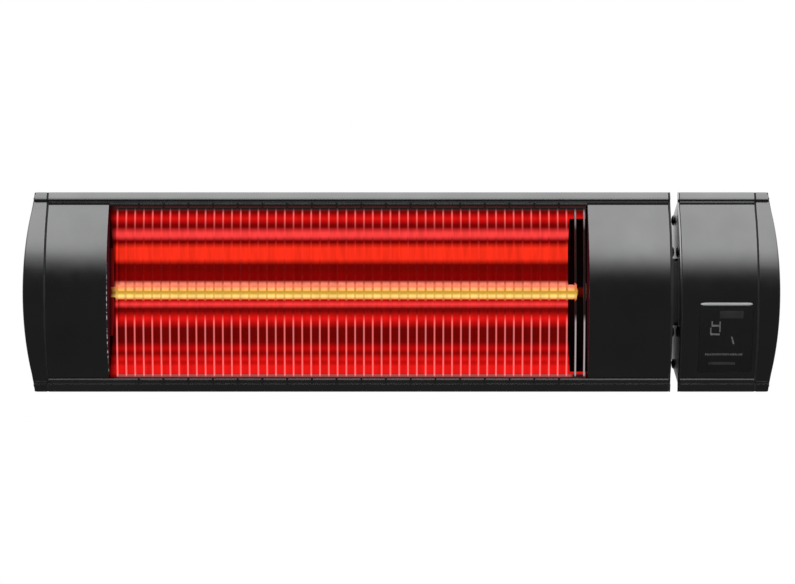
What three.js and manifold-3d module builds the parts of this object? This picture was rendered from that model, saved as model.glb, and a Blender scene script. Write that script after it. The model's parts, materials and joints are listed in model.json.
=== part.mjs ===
// Electric infrared bar heater on a tilting wall bracket.
// Millimetres. +X runs to the right seen from the front, +Y goes back to the wall, +Z is up.
// The origin is the centre of the wall plate's rear face. Inside the heater group, y = 0 is the
// plane of the front lips, so a section of the heater is drawn as [y, z] pairs.

import * as THREE from 'three';
import { mergeVertices } from 'three/addons/utils/BufferGeometryUtils.js';
import Module from 'manifold-3d';

const wasm = await Module();
wasm.setup();

// ---------------------------------------------------------------- driving dimensions

// fits
const SEAT_GAP = 0.3;            // between two pieces that rest on each other
const HOLE_CLEARANCE = 0.3;      // radial, round bolts, screws and glands
const CUT_MARGIN = 1;            // how far a cutting tool runs past the face it cuts
const JOIN_OVERLAP = 1;          // how far two joined lengths of one piece run into each other
const ROUND_SIDES = 14;          // facets of a turned piece
const SMALL_SIDES = 8;           // facets of a screw or a small hole

// extruded housing section; heights count down from the top of the lip bead
const HALF_HEIGHT = 68;          // middle to the top of the lip bead
const BEAD_HEIGHT = 5;
const BEAD_FRONT = 1.5;          // bead stands this far in front of the lip plane
const BEAD_CROWN = 1.1;          // its convex face, ahead of a straight slope from foot to top
const BEAD_STEPS = 4;
const GROOVE_HEIGHT = 3.1;
const GROOVE_DEPTH = 0.8;        // groove floor, behind the lip plane
const RIB_HEIGHT = 1.2;          // retaining rib under the groove
const RIB_FRONT = 1.2;
const LIP_REAR = 3.2;            // rear face of the lip flange
const LIP_STAND = 6.8;           // the bead stands this far above the shell
const SHELL_RUN = 40.8;          // sloping part of the shell, from the lip backwards
const SHELL_DROP = 9.2;
const SHELL_ROUND_Y = 18;        // round part between the slope and the back
const SHELL_ROUND_Z = 19;
const SHELL_ROUND_STEPS = 6;
const HOUSING_WALL = 2.2;

// curved front
const FRONT_RISE = 25;           // crown of the front, ahead of the lip plane
const PANEL_WALL = 1.8;
const FRONT_STEPS = 8;           // facets of half the front arc

// lengths along X
const LEFT_PANEL = 41.1;
const RIGHT_PANEL = 54.8;
const LAMP_BEHIND_LEFT = 14.2;   // length of the lamp behind each front panel
const LAMP_BEHIND_RIGHT = 10.5;
const END_PLATE = 1.2;           // thickness of the inner end plates
const POD_SPACING = 5;           // free gap between the two end plates
const POD_LENGTH = 50.5;         // pod housing
const GASKET = 0.8;
const GASKET_INSET = 0.3;        // its edge inside the outline of the cap
const GASKET_WIDTH = 2.8;
const CAP_CORNER = 8.1;          // end cap thickness at the top and bottom
const CAP_CROWN = 5.9;           // extra thickness of an end cap at mid height
const CAP_EDGE = 1.4;            // rounding of the end cap's outer edge
const CAP_EDGE_STEPS = 3;
const CAP_POCKET = 5.6;          // depth of the hollow inside an end cap
const CAP_WALL = 4;
const CAP_GROOVE = 1.8;          // height of the groove between the cap's face and its bead

// screws of the end plates and caps
const SCREW_RADIUS = 2;
const SCREW_HEAD_RADIUS = 3.6;
const SCREW_HEAD = 1.6;
const HEAD_CROWN = 0.7;          // top of a screw or bolt head, as a share of its radius
const SCREW_LENGTH = 16;
const SHELL_PORT_Y = 32;         // screw ports under the shell
const SHELL_PORT_DEPTH = 5.4;    // their centre below the outside of the shell
const FRONT_PORT_Y = -9;         // screw ports behind the front panel
const FRONT_PORT_MARGIN = 0.7;   // between their screw heads and the neck's flange
const PORT_HALF = 3.5;
const PORT_LENGTH = 12;
const CAP_COUNTERBORE = 3;
const CAP_BOSS = 5;

// lamp guard
const GUARD_WIRE = 0.75;         // wire radius
const GUARD_BORDER = 1;          // border wire radius
const GUARD_RISE = 8.1;          // crown of the wires, ahead of the border wires
const GUARD_PITCH = 5.98;
const GUARD_MARGIN_LEFT = 5.9;   // first wire from the left edge of the window
const GUARD_MARGIN_RIGHT = 2;    // least distance of the last wire from the right edge
const GUARD_BORDER_DROP = 1.8;   // border wire under the retaining rib
const GUARD_INSET = 1;           // border wires lie this far inside the front surface
const GUARD_STEPS = 6;
const GUARD_SIDES = 4;
const GUARD_BORDER_SIDES = 6;
const GUARD_BORDER_REACH = 0.6;  // past the outermost wires
const GUARD_MIDDLE_INSET = 1.2;  // middle wire behind the others
const HOOK_PITCH = 16.8;
const HOOK_MARGIN = 20.3;        // first hook from the left edge of the window
const HOOK_WIRE = 0.6;

// reflector trough: bends of its upper half, as [y, distance below its top edge]
const REFLECTOR_BENDS = [[3.4, 0], [9, 8.1], [17, 14.1], [28, 24.1], [38, 38.1], [42, 50.1]];
const REFLECTOR_RIDGE_Y = 40;    // ridge at mid height
const REFLECTOR_WALL = 0.8;
const REFLECTOR_NOTCH = 11;      // the trough stops short of the right end by this
const REFLECTOR_FLANGE = 7.1;    // height of the edge flange that runs on past it

// lamp
const LAMP_X = -38.4;            // middle of the lamp
const LAMP_Y = 14;
const LAMP_LENGTH = 350;
const LAMP_RADIUS = 5;
const LAMP_BORE = 4;
const LAMP_BASE_LENGTH = 12;
const LAMP_BASE_RADIUS = 6;
const LAMP_PINCH = 7;            // length of the narrowed tube ends
const LAMP_PINCH_RADIUS = 3.4;
const LAMP_SHOULDER = 3;
const LAMP_BASE_TIP = 3;         // length of the thinner outer end of a lamp base
const LAMP_BASE_TIP_RADIUS = 4.2;
const FILAMENT_RADIUS = 1.2;
const FILAMENT_LEAD_RADIUS = 0.5;
const FILAMENT_TAPER = 1;
const FILAMENT_MARGIN = 16.5;    // coil to each end of the lamp

// lamp holders and their sprung contacts
const HOLDER_LENGTH = 15;
const HOLDER_HALF_WIDTH = 10;
const HOLDER_FRONT = 8;          // ahead of the lamp axis
const HOLDER_REAR = 12;          // behind the lamp axis
const HOLDER_SHELF = 4.5;
const HOLDER_GAP = 2.5;          // from the end of the lamp to the upright block
const CONTACT_RADIUS = 2.3;
const CONTACT_NOSE = 1.2;
const CONTACT_TRAVEL = 2.5;
const BRACKET_SHEET = 1.2;
const BRACKET_CLEARANCE = 1;     // radial, round the lamp base
const BRACKET_HALF_WIDTH = 30;
const BRACKET_FOOT = 14;
const BRACKET_FRONT_Y = 5;

// neck between the main housing and the pod
const NECK_HALF = 20.7;
const NECK_FRONT_INSET = 5;
const NECK_REAR_Y = 28;
const NECK_WALL = 2.2;
const NECK_REACH = 1.6;          // past the inner face of each end plate
const NECK_FLANGE = 1;
const NECK_FLANGE_LIP = 2;
const NECK_CORNER = 5;
const NECK_EASE = 1.5;
const NECK_STEPS = 4;

// pod front
const DISPLAY_WIDTH = 36;
const DISPLAY_HEIGHT = 43;
const DISPLAY_MARGIN = 3.9;      // display window to the lower edge of the panel
const DISPLAY_OFFSET = 29.7;     // its middle from the left end of the pod panel
const LIGHT_BAR_WIDTH = 35;
const LIGHT_BAR_HEIGHT = 2.2;
const LIGHT_BAR_RISE = 2.3;      // above the display window

// electronics
const BOARD_WIDTH = 41;
const BOARD_THICKNESS = 1.6;
const BOARD_TO_SKIN = 1.5;       // its top and bottom edges behind the front panel
const BOARD_TO_GASKET = 1;
const DISPLAY_MODULE = [26, 8, 14];
const DISPLAY_MODULE_DROP = 9.5; // below the top of the display window
const RELAY = [19, 15, 15];
const RELAY_DROP = 4;            // below the top of the board
const HEAT_SINK = [34, 15, 52];
const HEAT_SINK_BASE = 4;
const HEAT_SINK_FINS = 6;
const HEAT_SINK_FIN = 2;
const TERMINAL_POLES = 5;
const TERMINAL_PITCH = 7;
const TERMINAL_DEPTH = 17;
const TERMINAL_HEIGHT = 22;
const TERMINAL_TO_BRACKET = 2.2;
const TERMINAL_Z = 6;
const TERMINAL_WELL = 2.2;
const TERMINAL_WELL_DEPTH = 8;

// cable gland in the back of the main housing
const GLAND_TO_END = 28.9;       // from the right end of the main housing
const GLAND_Z = -20;
const GLAND_THREAD = 8;
const GLAND_BORE = 4.5;
const GLAND_HEX = 11;
const GLAND_HEX_LENGTH = 5;
const GLAND_NECK = 6.5;
const GLAND_NECK_LENGTH = 8;
const GLAND_NUT_RADIUS = 10;
const GLAND_NUT_LENGTH = 11;
const GLAND_NUT_STEP = 2;        // length and depth of the step at its outer end
const GLAND_THREAD_LENGTH = 8;

// tilting bracket
const PIVOT_TO_WALL = 32;
const PIVOT_TO_BACK = 25;        // pivot axis behind the flat back of the housing
const STEEL = 3;                 // sheet of the wall plate and of the tilt arm
const WALL_PLATE_WIDTH = 130;
const WALL_PLATE_HEIGHT = 60;
const WALL_HOLE = 3.5;
const WALL_HOLE_X = 55;
const WALL_HOLE_Z = 20;
const EAR_INNER_X = 46;          // inner face of a wall plate ear
const EAR_RADIUS = 13;
const EAR_STEPS = 8;
const PIVOT_BOLT = 3;
const PIVOT_HEAD_RADIUS = 5.5;
const PIVOT_HEAD = 3.5;
const WASHER = 1.3;
const WASHER_RADIUS = 9;
const ARM_HALF_HEIGHT = 22;
const KNOB_RADIUS = 16;
const KNOB_LOBE = 2.2;
const KNOB_LOBES = 6;
const KNOB_LOBE_STEPS = 8;
const KNOB_HUB_RADIUS = 9.6;
const KNOB_LENGTH = 12;
const KNOB_COLLAR = 3;
const KNOB_CROWN = 1.5;          // left over the blind bore
const KNOB_TIP_GAP = 0.5;
const MOUNT_BOLT = 3;
const MOUNT_BOLT_X = 25;
const MOUNT_BOLT_HEAD = 4;
const MOUNT_BOLT_HEX = 5.6;
const MOUNT_BOLT_TAIL = 2;       // past the nut plate
const NUT_PLATE = [72, 3.2, 16];

// ---------------------------------------------------------------- derived places

const BEAD_LOW = HALF_HEIGHT - BEAD_HEIGHT;
const RIB_TOP = BEAD_LOW - GROOVE_HEIGHT;
const RIB_LOW = RIB_TOP - RIB_HEIGHT;
const PANEL_HALF = RIB_LOW - SEAT_GAP;
const SHELL_TOP = HALF_HEIGHT - LIP_STAND;
const SHELL_BEND_Y = LIP_REAR + SHELL_RUN;
const SHELL_BEND_Z = SHELL_TOP - SHELL_DROP;
const BACK_Y = SHELL_BEND_Y + SHELL_ROUND_Y;
const BACK_FLAT_Z = SHELL_BEND_Z - SHELL_ROUND_Z;
const BACK_INNER_Y = BACK_Y - HOUSING_WALL;

const FRONT_RADIUS = (PANEL_HALF ** 2 + FRONT_RISE ** 2) / (2 * FRONT_RISE);
const FRONT_CENTRE_Y = FRONT_RADIUS - FRONT_RISE;
const frontY = (inset, z) => FRONT_CENTRE_Y - Math.sqrt((FRONT_RADIUS - inset) ** 2 - z ** 2);
const frontZ = (inset, y) => Math.sqrt((FRONT_RADIUS - inset) ** 2 - (FRONT_CENTRE_Y - y) ** 2);

const PANEL_REAR_HALF = frontZ(PANEL_WALL, frontY(0, PANEL_HALF));

const LAMP_HALF = LAMP_LENGTH / 2;
const TUBE_HALF = LAMP_HALF - LAMP_BASE_LENGTH - SEAT_GAP;
const WINDOW_LEFT = LAMP_X - LAMP_HALF + LAMP_BEHIND_LEFT;
const WINDOW_RIGHT = LAMP_X + LAMP_HALF - LAMP_BEHIND_RIGHT;
const MAIN_LEFT = WINDOW_LEFT - LEFT_PANEL;
const MAIN_RIGHT = WINDOW_RIGHT + RIGHT_PANEL;
const MAIN_PLATE_X = MAIN_RIGHT + SEAT_GAP;
const MAIN_FACE_X = MAIN_PLATE_X + END_PLATE;
const POD_PLATE_X = MAIN_FACE_X + POD_SPACING;
const POD_LEFT = POD_PLATE_X + END_PLATE + SEAT_GAP;
const POD_RIGHT = POD_LEFT + POD_LENGTH;
const LEFT_CAP_X = MAIN_LEFT - GASKET - 2 * SEAT_GAP;
const RIGHT_CAP_X = POD_RIGHT + GASKET + 2 * SEAT_GAP;

const shellSlopeZ = (y) => SHELL_TOP - (SHELL_DROP * (y - LIP_REAR)) / SHELL_RUN;
const SHELL_PORT = [SHELL_PORT_Y, shellSlopeZ(SHELL_PORT_Y) - SHELL_PORT_DEPTH];
const FRONT_PORT = [
  FRONT_PORT_Y,
  NECK_HALF + NECK_FLANGE_LIP + SCREW_HEAD_RADIUS + FRONT_PORT_MARGIN,
];
const PORTS = [SHELL_PORT, FRONT_PORT].flatMap(([y, z]) => [[y, z], [y, -z]]);

const GUARD_BORDER_Z = RIB_LOW - GUARD_BORDER_DROP;
const GUARD_BORDER_Y = frontY(GUARD_INSET, GUARD_BORDER_Z);
const guardY = (z) => GUARD_BORDER_Y - GUARD_RISE * (1 - (z / GUARD_BORDER_Z) ** 2);
const GUARD_LEFT = WINDOW_LEFT + GUARD_MARGIN_LEFT;
const GUARD_COUNT = 1 + Math.floor((WINDOW_RIGHT - GUARD_MARGIN_RIGHT - GUARD_LEFT) / GUARD_PITCH);
const HOOK_LEFT = WINDOW_LEFT + HOOK_MARGIN;
const HOOK_COUNT = 1 + Math.floor((WINDOW_RIGHT - GUARD_PITCH - HOOK_LEFT) / HOOK_PITCH);
const REFLECTOR_TOP = PANEL_HALF - SEAT_GAP;

const BOARD_Y = FRONT_PORT_Y + PORT_HALF + SEAT_GAP;
const BOARD_HALF = frontZ(PANEL_WALL, BOARD_Y - BOARD_TO_SKIN);
const DISPLAY_BOTTOM = DISPLAY_MARGIN - PANEL_HALF;
const DISPLAY_TOP = DISPLAY_BOTTOM + DISPLAY_HEIGHT;
const LIGHT_BAR_BOTTOM = DISPLAY_TOP + LIGHT_BAR_RISE;
const LIGHT_BAR_TOP = LIGHT_BAR_BOTTOM + LIGHT_BAR_HEIGHT;
const DISPLAY_CENTRE_X = POD_LEFT + DISPLAY_OFFSET;
const GLAND_X = MAIN_RIGHT - GLAND_TO_END;

const PIVOT_Y = BACK_Y + PIVOT_TO_BACK;
const LIP_TO_WALL = PIVOT_Y + PIVOT_TO_WALL;
const ARM_OUTER_X = EAR_INNER_X - WASHER - 2 * SEAT_GAP;
const KNOB_SEAT_X = EAR_INNER_X + STEEL + SEAT_GAP;

// ---------------------------------------------------------------- materials

const material = (color, roughness, metalness) =>
  new THREE.MeshStandardMaterial({ color, roughness, metalness });

const blackAluminium = material(0x1b1c1d, 0.38, 0.5);
const blackPanel = material(0x1c1c1e, 0.3, 0.4);
const blackCast = material(0x202123, 0.42, 0.4);
const sealRubber = material(0x0c0c0c, 0.9, 0);
const zincSteel = material(0xb9bcc0, 0.35, 0.9);
const brightWire = material(0xd8c9c6, 0.25, 0.9);
const goldReflector = material(0xe0a060, 0.15, 1);
const rubyQuartz = material(0xff3a14, 0.08, 0);
const glowingTungsten = material(0xffd070, 0.5, 0.2);
const steatite = material(0xe9e4d8, 0.6, 0);
const brassContact = material(0xc9a553, 0.3, 0.9);
const smokedAcrylic = material(0x0e0f11, 0.08, 0);
const silverBar = material(0xaeb1b3, 0.3, 0.6);
const boardGreen = material(0x1d4d33, 0.6, 0);
const displayRed = material(0x2a1414, 0.3, 0);
const relayBlue = material(0x27466f, 0.5, 0);
const bareAluminium = material(0x9ea2a5, 0.4, 0.9);
const terminalPlastic = material(0xd9d6cd, 0.6, 0);
const blackPlastic = material(0x141414, 0.55, 0);
const blackSteel = material(0x232426, 0.5, 0.6);

// ---------------------------------------------------------------- geometry helpers

const AXIS_X = new THREE.Vector3(1, 0, 0);
const AXIS_Y = new THREE.Vector3(0, 1, 0);
const AXIS_Z = new THREE.Vector3(0, 0, 1);

const outlineShape = (points, holes = []) => {
  const toVectors = (list) => list.map(([a, b]) => new THREE.Vector2(a, b));
  const shape = new THREE.Shape(toVectors(points));
  shape.holes = holes.map((hole) => new THREE.Path(toVectors(hole)));
  return shape;
};

const circlePoints = (radius, sides, [a, b] = [0, 0]) =>
  Array.from({ length: sides }, (_, i) => {
    const turn = (2 * Math.PI * (i + 0.5)) / sides;
    return [a + radius * Math.cos(turn), b + radius * Math.sin(turn)];
  });

const rectanglePoints = (a0, a1, b0, b1) => [[a0, b0], [a1, b0], [a1, b1], [a0, b1]];

// extrudes a [y, z] outline from x0 to x1
const extrudeX = (points, x0, x1, holes = []) =>
  new THREE.ExtrudeGeometry(outlineShape(points, holes), { depth: x1 - x0, bevelEnabled: false })
    .applyMatrix4(new THREE.Matrix4().makeBasis(AXIS_Y, AXIS_Z, AXIS_X))
    .translate(x0, 0, 0);

// extrudes an [x, y] outline from z0 to z1
const extrudeZ = (points, z0, z1, holes = []) =>
  new THREE.ExtrudeGeometry(outlineShape(points, holes), { depth: z1 - z0, bevelEnabled: false })
    .translate(0, 0, z0);

// extrudes a [z, x] outline from y0 to y1
const extrudeY = (points, y0, y1, holes = []) =>
  new THREE.ExtrudeGeometry(outlineShape(points, holes), { depth: y1 - y0, bevelEnabled: false })
    .applyMatrix4(new THREE.Matrix4().makeBasis(AXIS_Z, AXIS_X, AXIS_Y))
    .translate(0, y0, 0);

const box = (x0, x1, y0, y1, z0, z1) =>
  new THREE.BoxGeometry(x1 - x0, y1 - y0, z1 - z0)
    .translate((x0 + x1) / 2, (y0 + y1) / 2, (z0 + z1) / 2);

// turns a profile of [radius, distance] pairs about an axis parallel to X through [y, z]
const turnX = (profile, [y, z], sides = ROUND_SIDES) =>
  new THREE.LatheGeometry(profile.map(([r, d]) => new THREE.Vector2(r, d)), sides)
    .rotateZ(-Math.PI / 2)
    .translate(0, y, z);

const rodX = (radius, x0, x1, centre, sides = SMALL_SIDES) =>
  turnX([[0, x0], [radius, x0], [radius, x1], [0, x1]], centre, sides);

const rodY = (radius, y0, y1, x, z, sides = SMALL_SIDES) =>
  extrudeY(circlePoints(radius, sides, [z, x]), y0, y1);

const solidOf = (geometry) => {
  const bare = geometry.clone();
  bare.deleteAttribute('normal');
  bare.deleteAttribute('uv');
  const merged = mergeVertices(bare, 1e-4);
  return new wasm.Manifold(new wasm.Mesh({
    numProp: 3,
    vertProperties: new Float32Array(merged.attributes.position.array),
    triVerts: new Uint32Array(merged.index.array),
  }));
};

const geometryOf = (solid) => {
  const mesh = solid.getMesh();
  const geometry = new THREE.BufferGeometry();
  geometry.setAttribute('position', new THREE.BufferAttribute(mesh.vertProperties, 3));
  geometry.setIndex(new THREE.BufferAttribute(mesh.triVerts, 1));
  const flat = geometry.toNonIndexed();
  flat.computeVertexNormals();
  return flat;
};

const joined = (parts) => parts.map(solidOf).reduce((sum, part) => sum.add(part));

const combine = (parts, cuts = []) => {
  const body = joined(parts);
  return geometryOf(cuts.length ? body.subtract(joined(cuts)) : body);
};

// closes a stack of equal rings into a solid; each ring is a list of THREE.Vector3
const loftRings = (rings) => {
  const count = rings[0].length;
  const positions = rings.flat().flatMap((point) => point.toArray());
  const flatRing = rings[0].map((point) => new THREE.Vector2(point.y, point.z));
  const lid = THREE.ShapeUtils.triangulateShape(flatRing, []);
  if (THREE.ShapeUtils.isClockWise(flatRing)) {
    lid.forEach((triangle) => triangle.reverse());
  }
  const last = (rings.length - 1) * count;
  const index = [];
  for (let r = 0; r + 1 < rings.length; r++) {
    for (let i = 0; i < count; i++) {
      const a = r * count + i;
      const b = r * count + ((i + 1) % count);
      index.push(a, b, b + count, a, b + count, a + count);
    }
  }
  lid.forEach(([a, b, c]) => {
    index.push(a, c, b);
    index.push(last + a, last + b, last + c);
  });
  const geometry = new THREE.BufferGeometry();
  geometry.setAttribute('position', new THREE.Float32BufferAttribute(positions, 3));
  geometry.setIndex(index);
  return facingOut(geometry);
};

// turns every triangle over where the closed surface faces inwards
const facingOut = (geometry) => {
  const [a, b, c] = [0, 0, 0].map(() => new THREE.Vector3());
  const place = geometry.attributes.position;
  const index = geometry.index.array;
  let volume = 0;
  for (let i = 0; i < index.length; i += 3) {
    a.fromBufferAttribute(place, index[i]);
    b.fromBufferAttribute(place, index[i + 1]);
    c.fromBufferAttribute(place, index[i + 2]);
    volume += a.dot(b.cross(c));
  }
  if (volume < 0) {
    for (let i = 0; i < index.length; i += 3) {
      [index[i + 1], index[i + 2]] = [index[i + 2], index[i + 1]];
    }
  }
  geometry.computeVertexNormals();
  return geometry;
};

// moves an open chain of points sideways; a positive distance goes to the right of its run
const offsetChain = (points, distance) =>
  points.map((point, i) => {
    const before = points[Math.max(i - 1, 0)];
    const after = points[Math.min(i + 1, points.length - 1)];
    const side = (from, to) => {
      const run = new THREE.Vector2(to[0] - from[0], to[1] - from[1]).normalize();
      return new THREE.Vector2(run.y, -run.x);
    };
    const first = before === point ? side(point, after) : side(before, point);
    const second = after === point ? first : side(point, after);
    const mean = first.clone().add(second).normalize();
    const reach = distance / Math.max(mean.dot(first), 0.5);
    return [point[0] + mean.x * reach, point[1] + mean.y * reach];
  });

const mirrored = (points) => points.map(([y, z]) => [y, -z]);

// closes the upper half of a section, front middle to back middle, with its mirror image
const closedHalf = (half) => half.concat(mirrored(half.slice(1, -1)).reverse());

const named = (name, geometry, finish) => {
  const mesh = new THREE.Mesh(geometry, finish);
  mesh.name = name;
  return mesh;
};

// ---------------------------------------------------------------- section outlines

// front arc from one height to another
const frontArc = (inset, fromZ, toZ, steps) =>
  Array.from({ length: steps + 1 }, (_, i) => {
    const z = fromZ + ((toZ - fromZ) * i) / steps;
    return [frontY(inset, z), z];
  });

// outer line of the shell behind the lip, down to the middle of the back
const shellChain = () => {
  const bend = new THREE.CubicBezierCurve(
    new THREE.Vector2(SHELL_BEND_Y, SHELL_BEND_Z),
    new THREE.Vector2(SHELL_BEND_Y + SHELL_ROUND_Y * 0.6, SHELL_BEND_Z - SHELL_ROUND_Z * 0.15),
    new THREE.Vector2(BACK_Y, SHELL_BEND_Z - SHELL_ROUND_Z * 0.4),
    new THREE.Vector2(BACK_Y, BACK_FLAT_Z),
  );
  const bendPoints = bend.getPoints(SHELL_ROUND_STEPS).map((point) => [point.x, point.y]);
  return [[LIP_REAR, SHELL_TOP], ...bendPoints, [BACK_Y, 0]];
};

const innerShellChain = (inset) => {
  const chain = offsetChain(shellChain(), inset);
  chain[chain.length - 1] = [BACK_Y - inset, 0];
  return chain;
};

// bead along the top of the lip: its underside and the convex face that leans back to the rear
const beadChain = () => {
  const foot = new THREE.Vector2(-BEAD_FRONT, BEAD_LOW);
  const top = new THREE.Vector2(LIP_REAR, HALF_HEIGHT);
  const run = top.clone().sub(foot);
  const outward = new THREE.Vector2(-run.y, run.x).normalize();
  const face = Array.from({ length: BEAD_STEPS + 1 }, (_, i) => {
    const t = i / BEAD_STEPS;
    const bulge = 4 * BEAD_CROWN * t * (1 - t);
    return [foot.x + run.x * t + outward.x * bulge, foot.y + run.y * t + outward.y * bulge];
  });
  return [[GROOVE_DEPTH, BEAD_LOW], ...face];
};

const housingOutline = () => {
  const outer = [[-RIB_FRONT, RIB_TOP], [GROOVE_DEPTH, RIB_TOP], ...beadChain(), ...shellChain()];
  const shell = innerShellChain(HOUSING_WALL).slice(1);
  const inner = [[-RIB_FRONT, RIB_LOW], [LIP_REAR + HOUSING_WALL, RIB_LOW], ...shell];
  return [
    ...outer,
    ...mirrored(outer.slice(0, -1)).reverse(),
    ...mirrored(inner),
    ...inner.slice(0, -1).reverse(),
  ];
};

// full outline of an end: the curved front, the groove, the bead and the shell
const endOutline = () => {
  const faceTop = BEAD_LOW - CAP_GROOVE;
  const ease = CAP_GROOVE / 4;
  return closedHalf([
    ...frontArc(0, 0, PANEL_HALF - CAP_EDGE, FRONT_STEPS),
    [-GROOVE_DEPTH, faceTop - ease],
    [0, faceTop],
    [GROOVE_DEPTH, faceTop],
    ...beadChain(),
    ...shellChain(),
  ]);
};

// the end's outline moved inwards by the same amount all round
const insetEnd = (inset) => {
  const outline = endOutline();
  return offsetChain([outline[outline.length - 1], ...outline, outline[0]], inset).slice(1, -1);
};

// plain outline inside the bead and the groove
const coreOutline = (inset) =>
  closedHalf([
    ...frontArc(inset, 0, PANEL_HALF - inset, FRONT_STEPS),
    ...innerShellChain(inset),
  ]);

const neckOutline = (grow) => {
  const half = NECK_HALF + grow;
  const inset = NECK_FRONT_INSET - grow;
  const rear = NECK_REAR_Y + grow;
  return closedHalf([
    ...frontArc(inset, 0, half - NECK_EASE, NECK_STEPS),
    [frontY(inset, half) + NECK_EASE, half],
    [rear - NECK_CORNER, half],
    [rear - NECK_EASE, half - NECK_EASE],
    [rear, half - NECK_CORNER],
    [rear, 0],
  ]);
};

// ---------------------------------------------------------------- housings

const screwPorts = (x0, x1) => {
  const [y, z] = SHELL_PORT;
  return [1, -1].map((side) => {
    const near = side * (z - PORT_HALF);
    const far = side * (z + SHELL_PORT_DEPTH - HOUSING_WALL / 2);
    return box(x0, x1, y - PORT_HALF, y + PORT_HALF, Math.min(near, far), Math.max(near, far));
  });
};

const portHoles = (x0, x1, [y, z]) =>
  [1, -1].map((side) =>
    rodX(SCREW_RADIUS + HOLE_CLEARANCE, x0 - CUT_MARGIN, x1 + CUT_MARGIN, [y, side * z]));

const backHole = (radius, x, z, sides) =>
  rodY(radius + HOLE_CLEARANCE, BACK_INNER_Y - CUT_MARGIN, BACK_Y + CUT_MARGIN, x, z, sides);

const mainHousing = () =>
  combine(
    [extrudeX(housingOutline(), MAIN_LEFT, MAIN_RIGHT), ...screwPorts(MAIN_LEFT, MAIN_RIGHT)],
    [
      ...portHoles(MAIN_LEFT, MAIN_RIGHT, SHELL_PORT),
      backHole(MOUNT_BOLT, -MOUNT_BOLT_X, 0, SMALL_SIDES),
      backHole(MOUNT_BOLT, MOUNT_BOLT_X, 0, SMALL_SIDES),
      backHole(GLAND_THREAD, GLAND_X, GLAND_Z, ROUND_SIDES),
    ],
  );

const podHousing = () =>
  combine(
    [extrudeX(housingOutline(), POD_LEFT, POD_RIGHT), ...screwPorts(POD_LEFT, POD_RIGHT)],
    portHoles(POD_LEFT, POD_RIGHT, SHELL_PORT),
  );

// curved front panel with a screw boss behind it at both heights of each place in bosses
const frontPanel = (x0, x1, bosses, extras = [], openings = []) => {
  const skin = [
    ...frontArc(0, -PANEL_HALF, PANEL_HALF, 2 * FRONT_STEPS),
    ...frontArc(PANEL_WALL, PANEL_REAR_HALF, -PANEL_REAR_HALF, 2 * FRONT_STEPS),
  ];
  const [y, z] = FRONT_PORT;
  const front = frontY(PANEL_WALL / 2, z + PORT_HALF);
  const blocks = bosses.flatMap((x) => [1, -1].map((side) =>
    box(x, x + PORT_LENGTH, front, y + PORT_HALF, side * z - PORT_HALF, side * z + PORT_HALF)));
  const holes = bosses.flatMap((x) => portHoles(x, x + PORT_LENGTH, FRONT_PORT));
  return combine([extrudeX(skin, x0, x1), ...blocks, ...extras], [...holes, ...openings]);
};

// end wall of a front panel beside the window; it reaches back to the lamp bracket
const panelWall = (x) => {
  const rear = BRACKET_FRONT_Y - SEAT_GAP;
  const outline = [
    ...frontArc(PANEL_WALL / 2, -PANEL_REAR_HALF, PANEL_REAR_HALF, 2 * FRONT_STEPS),
    [rear, PANEL_REAR_HALF], [rear, -PANEL_REAR_HALF],
  ];
  return extrudeX(outline, x, x + PANEL_WALL);
};

const leftPanel = () =>
  frontPanel(MAIN_LEFT, WINDOW_LEFT, [MAIN_LEFT], [panelWall(WINDOW_LEFT - PANEL_WALL)]);

const rightPanel = () =>
  frontPanel(WINDOW_RIGHT, MAIN_RIGHT, [MAIN_RIGHT - PORT_LENGTH], [panelWall(WINDOW_RIGHT)]);

const displayOpening = (grow, top, bottom, width) => {
  const half = width / 2 + grow;
  return box(
    DISPLAY_CENTRE_X - half, DISPLAY_CENTRE_X + half,
    -FRONT_RISE - CUT_MARGIN, frontY(PANEL_WALL, bottom) + CUT_MARGIN,
    bottom - grow, top + grow,
  );
};

const podPanel = () =>
  frontPanel(POD_LEFT, POD_RIGHT, [POD_LEFT, POD_RIGHT - PORT_LENGTH], [], [
    displayOpening(SEAT_GAP, DISPLAY_TOP, DISPLAY_BOTTOM, DISPLAY_WIDTH),
    displayOpening(SEAT_GAP, LIGHT_BAR_TOP, LIGHT_BAR_BOTTOM, LIGHT_BAR_WIDTH),
  ]);

// a plate that follows the curved front between two heights
const frontInsert = (width, top, bottom, steps) => {
  const skin = [
    ...frontArc(0, bottom, top, steps),
    ...frontArc(PANEL_WALL, top, bottom, steps),
  ];
  return extrudeX(skin, DISPLAY_CENTRE_X - width / 2, DISPLAY_CENTRE_X + width / 2);
};

// ---------------------------------------------------------------- ends

const endPlate = (x0) =>
  combine(
    [extrudeX(endOutline(), x0, x0 + END_PLATE)],
    [
      ...portHoles(x0, x0 + END_PLATE, SHELL_PORT),
      ...portHoles(x0, x0 + END_PLATE, FRONT_PORT),
      extrudeX(neckOutline(SEAT_GAP), x0 - CUT_MARGIN, x0 + END_PLATE + CUT_MARGIN),
    ],
  );

const capThickness = (z) => CAP_CORNER + CAP_CROWN * (1 - (z / HALF_HEIGHT) ** 2);

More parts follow.
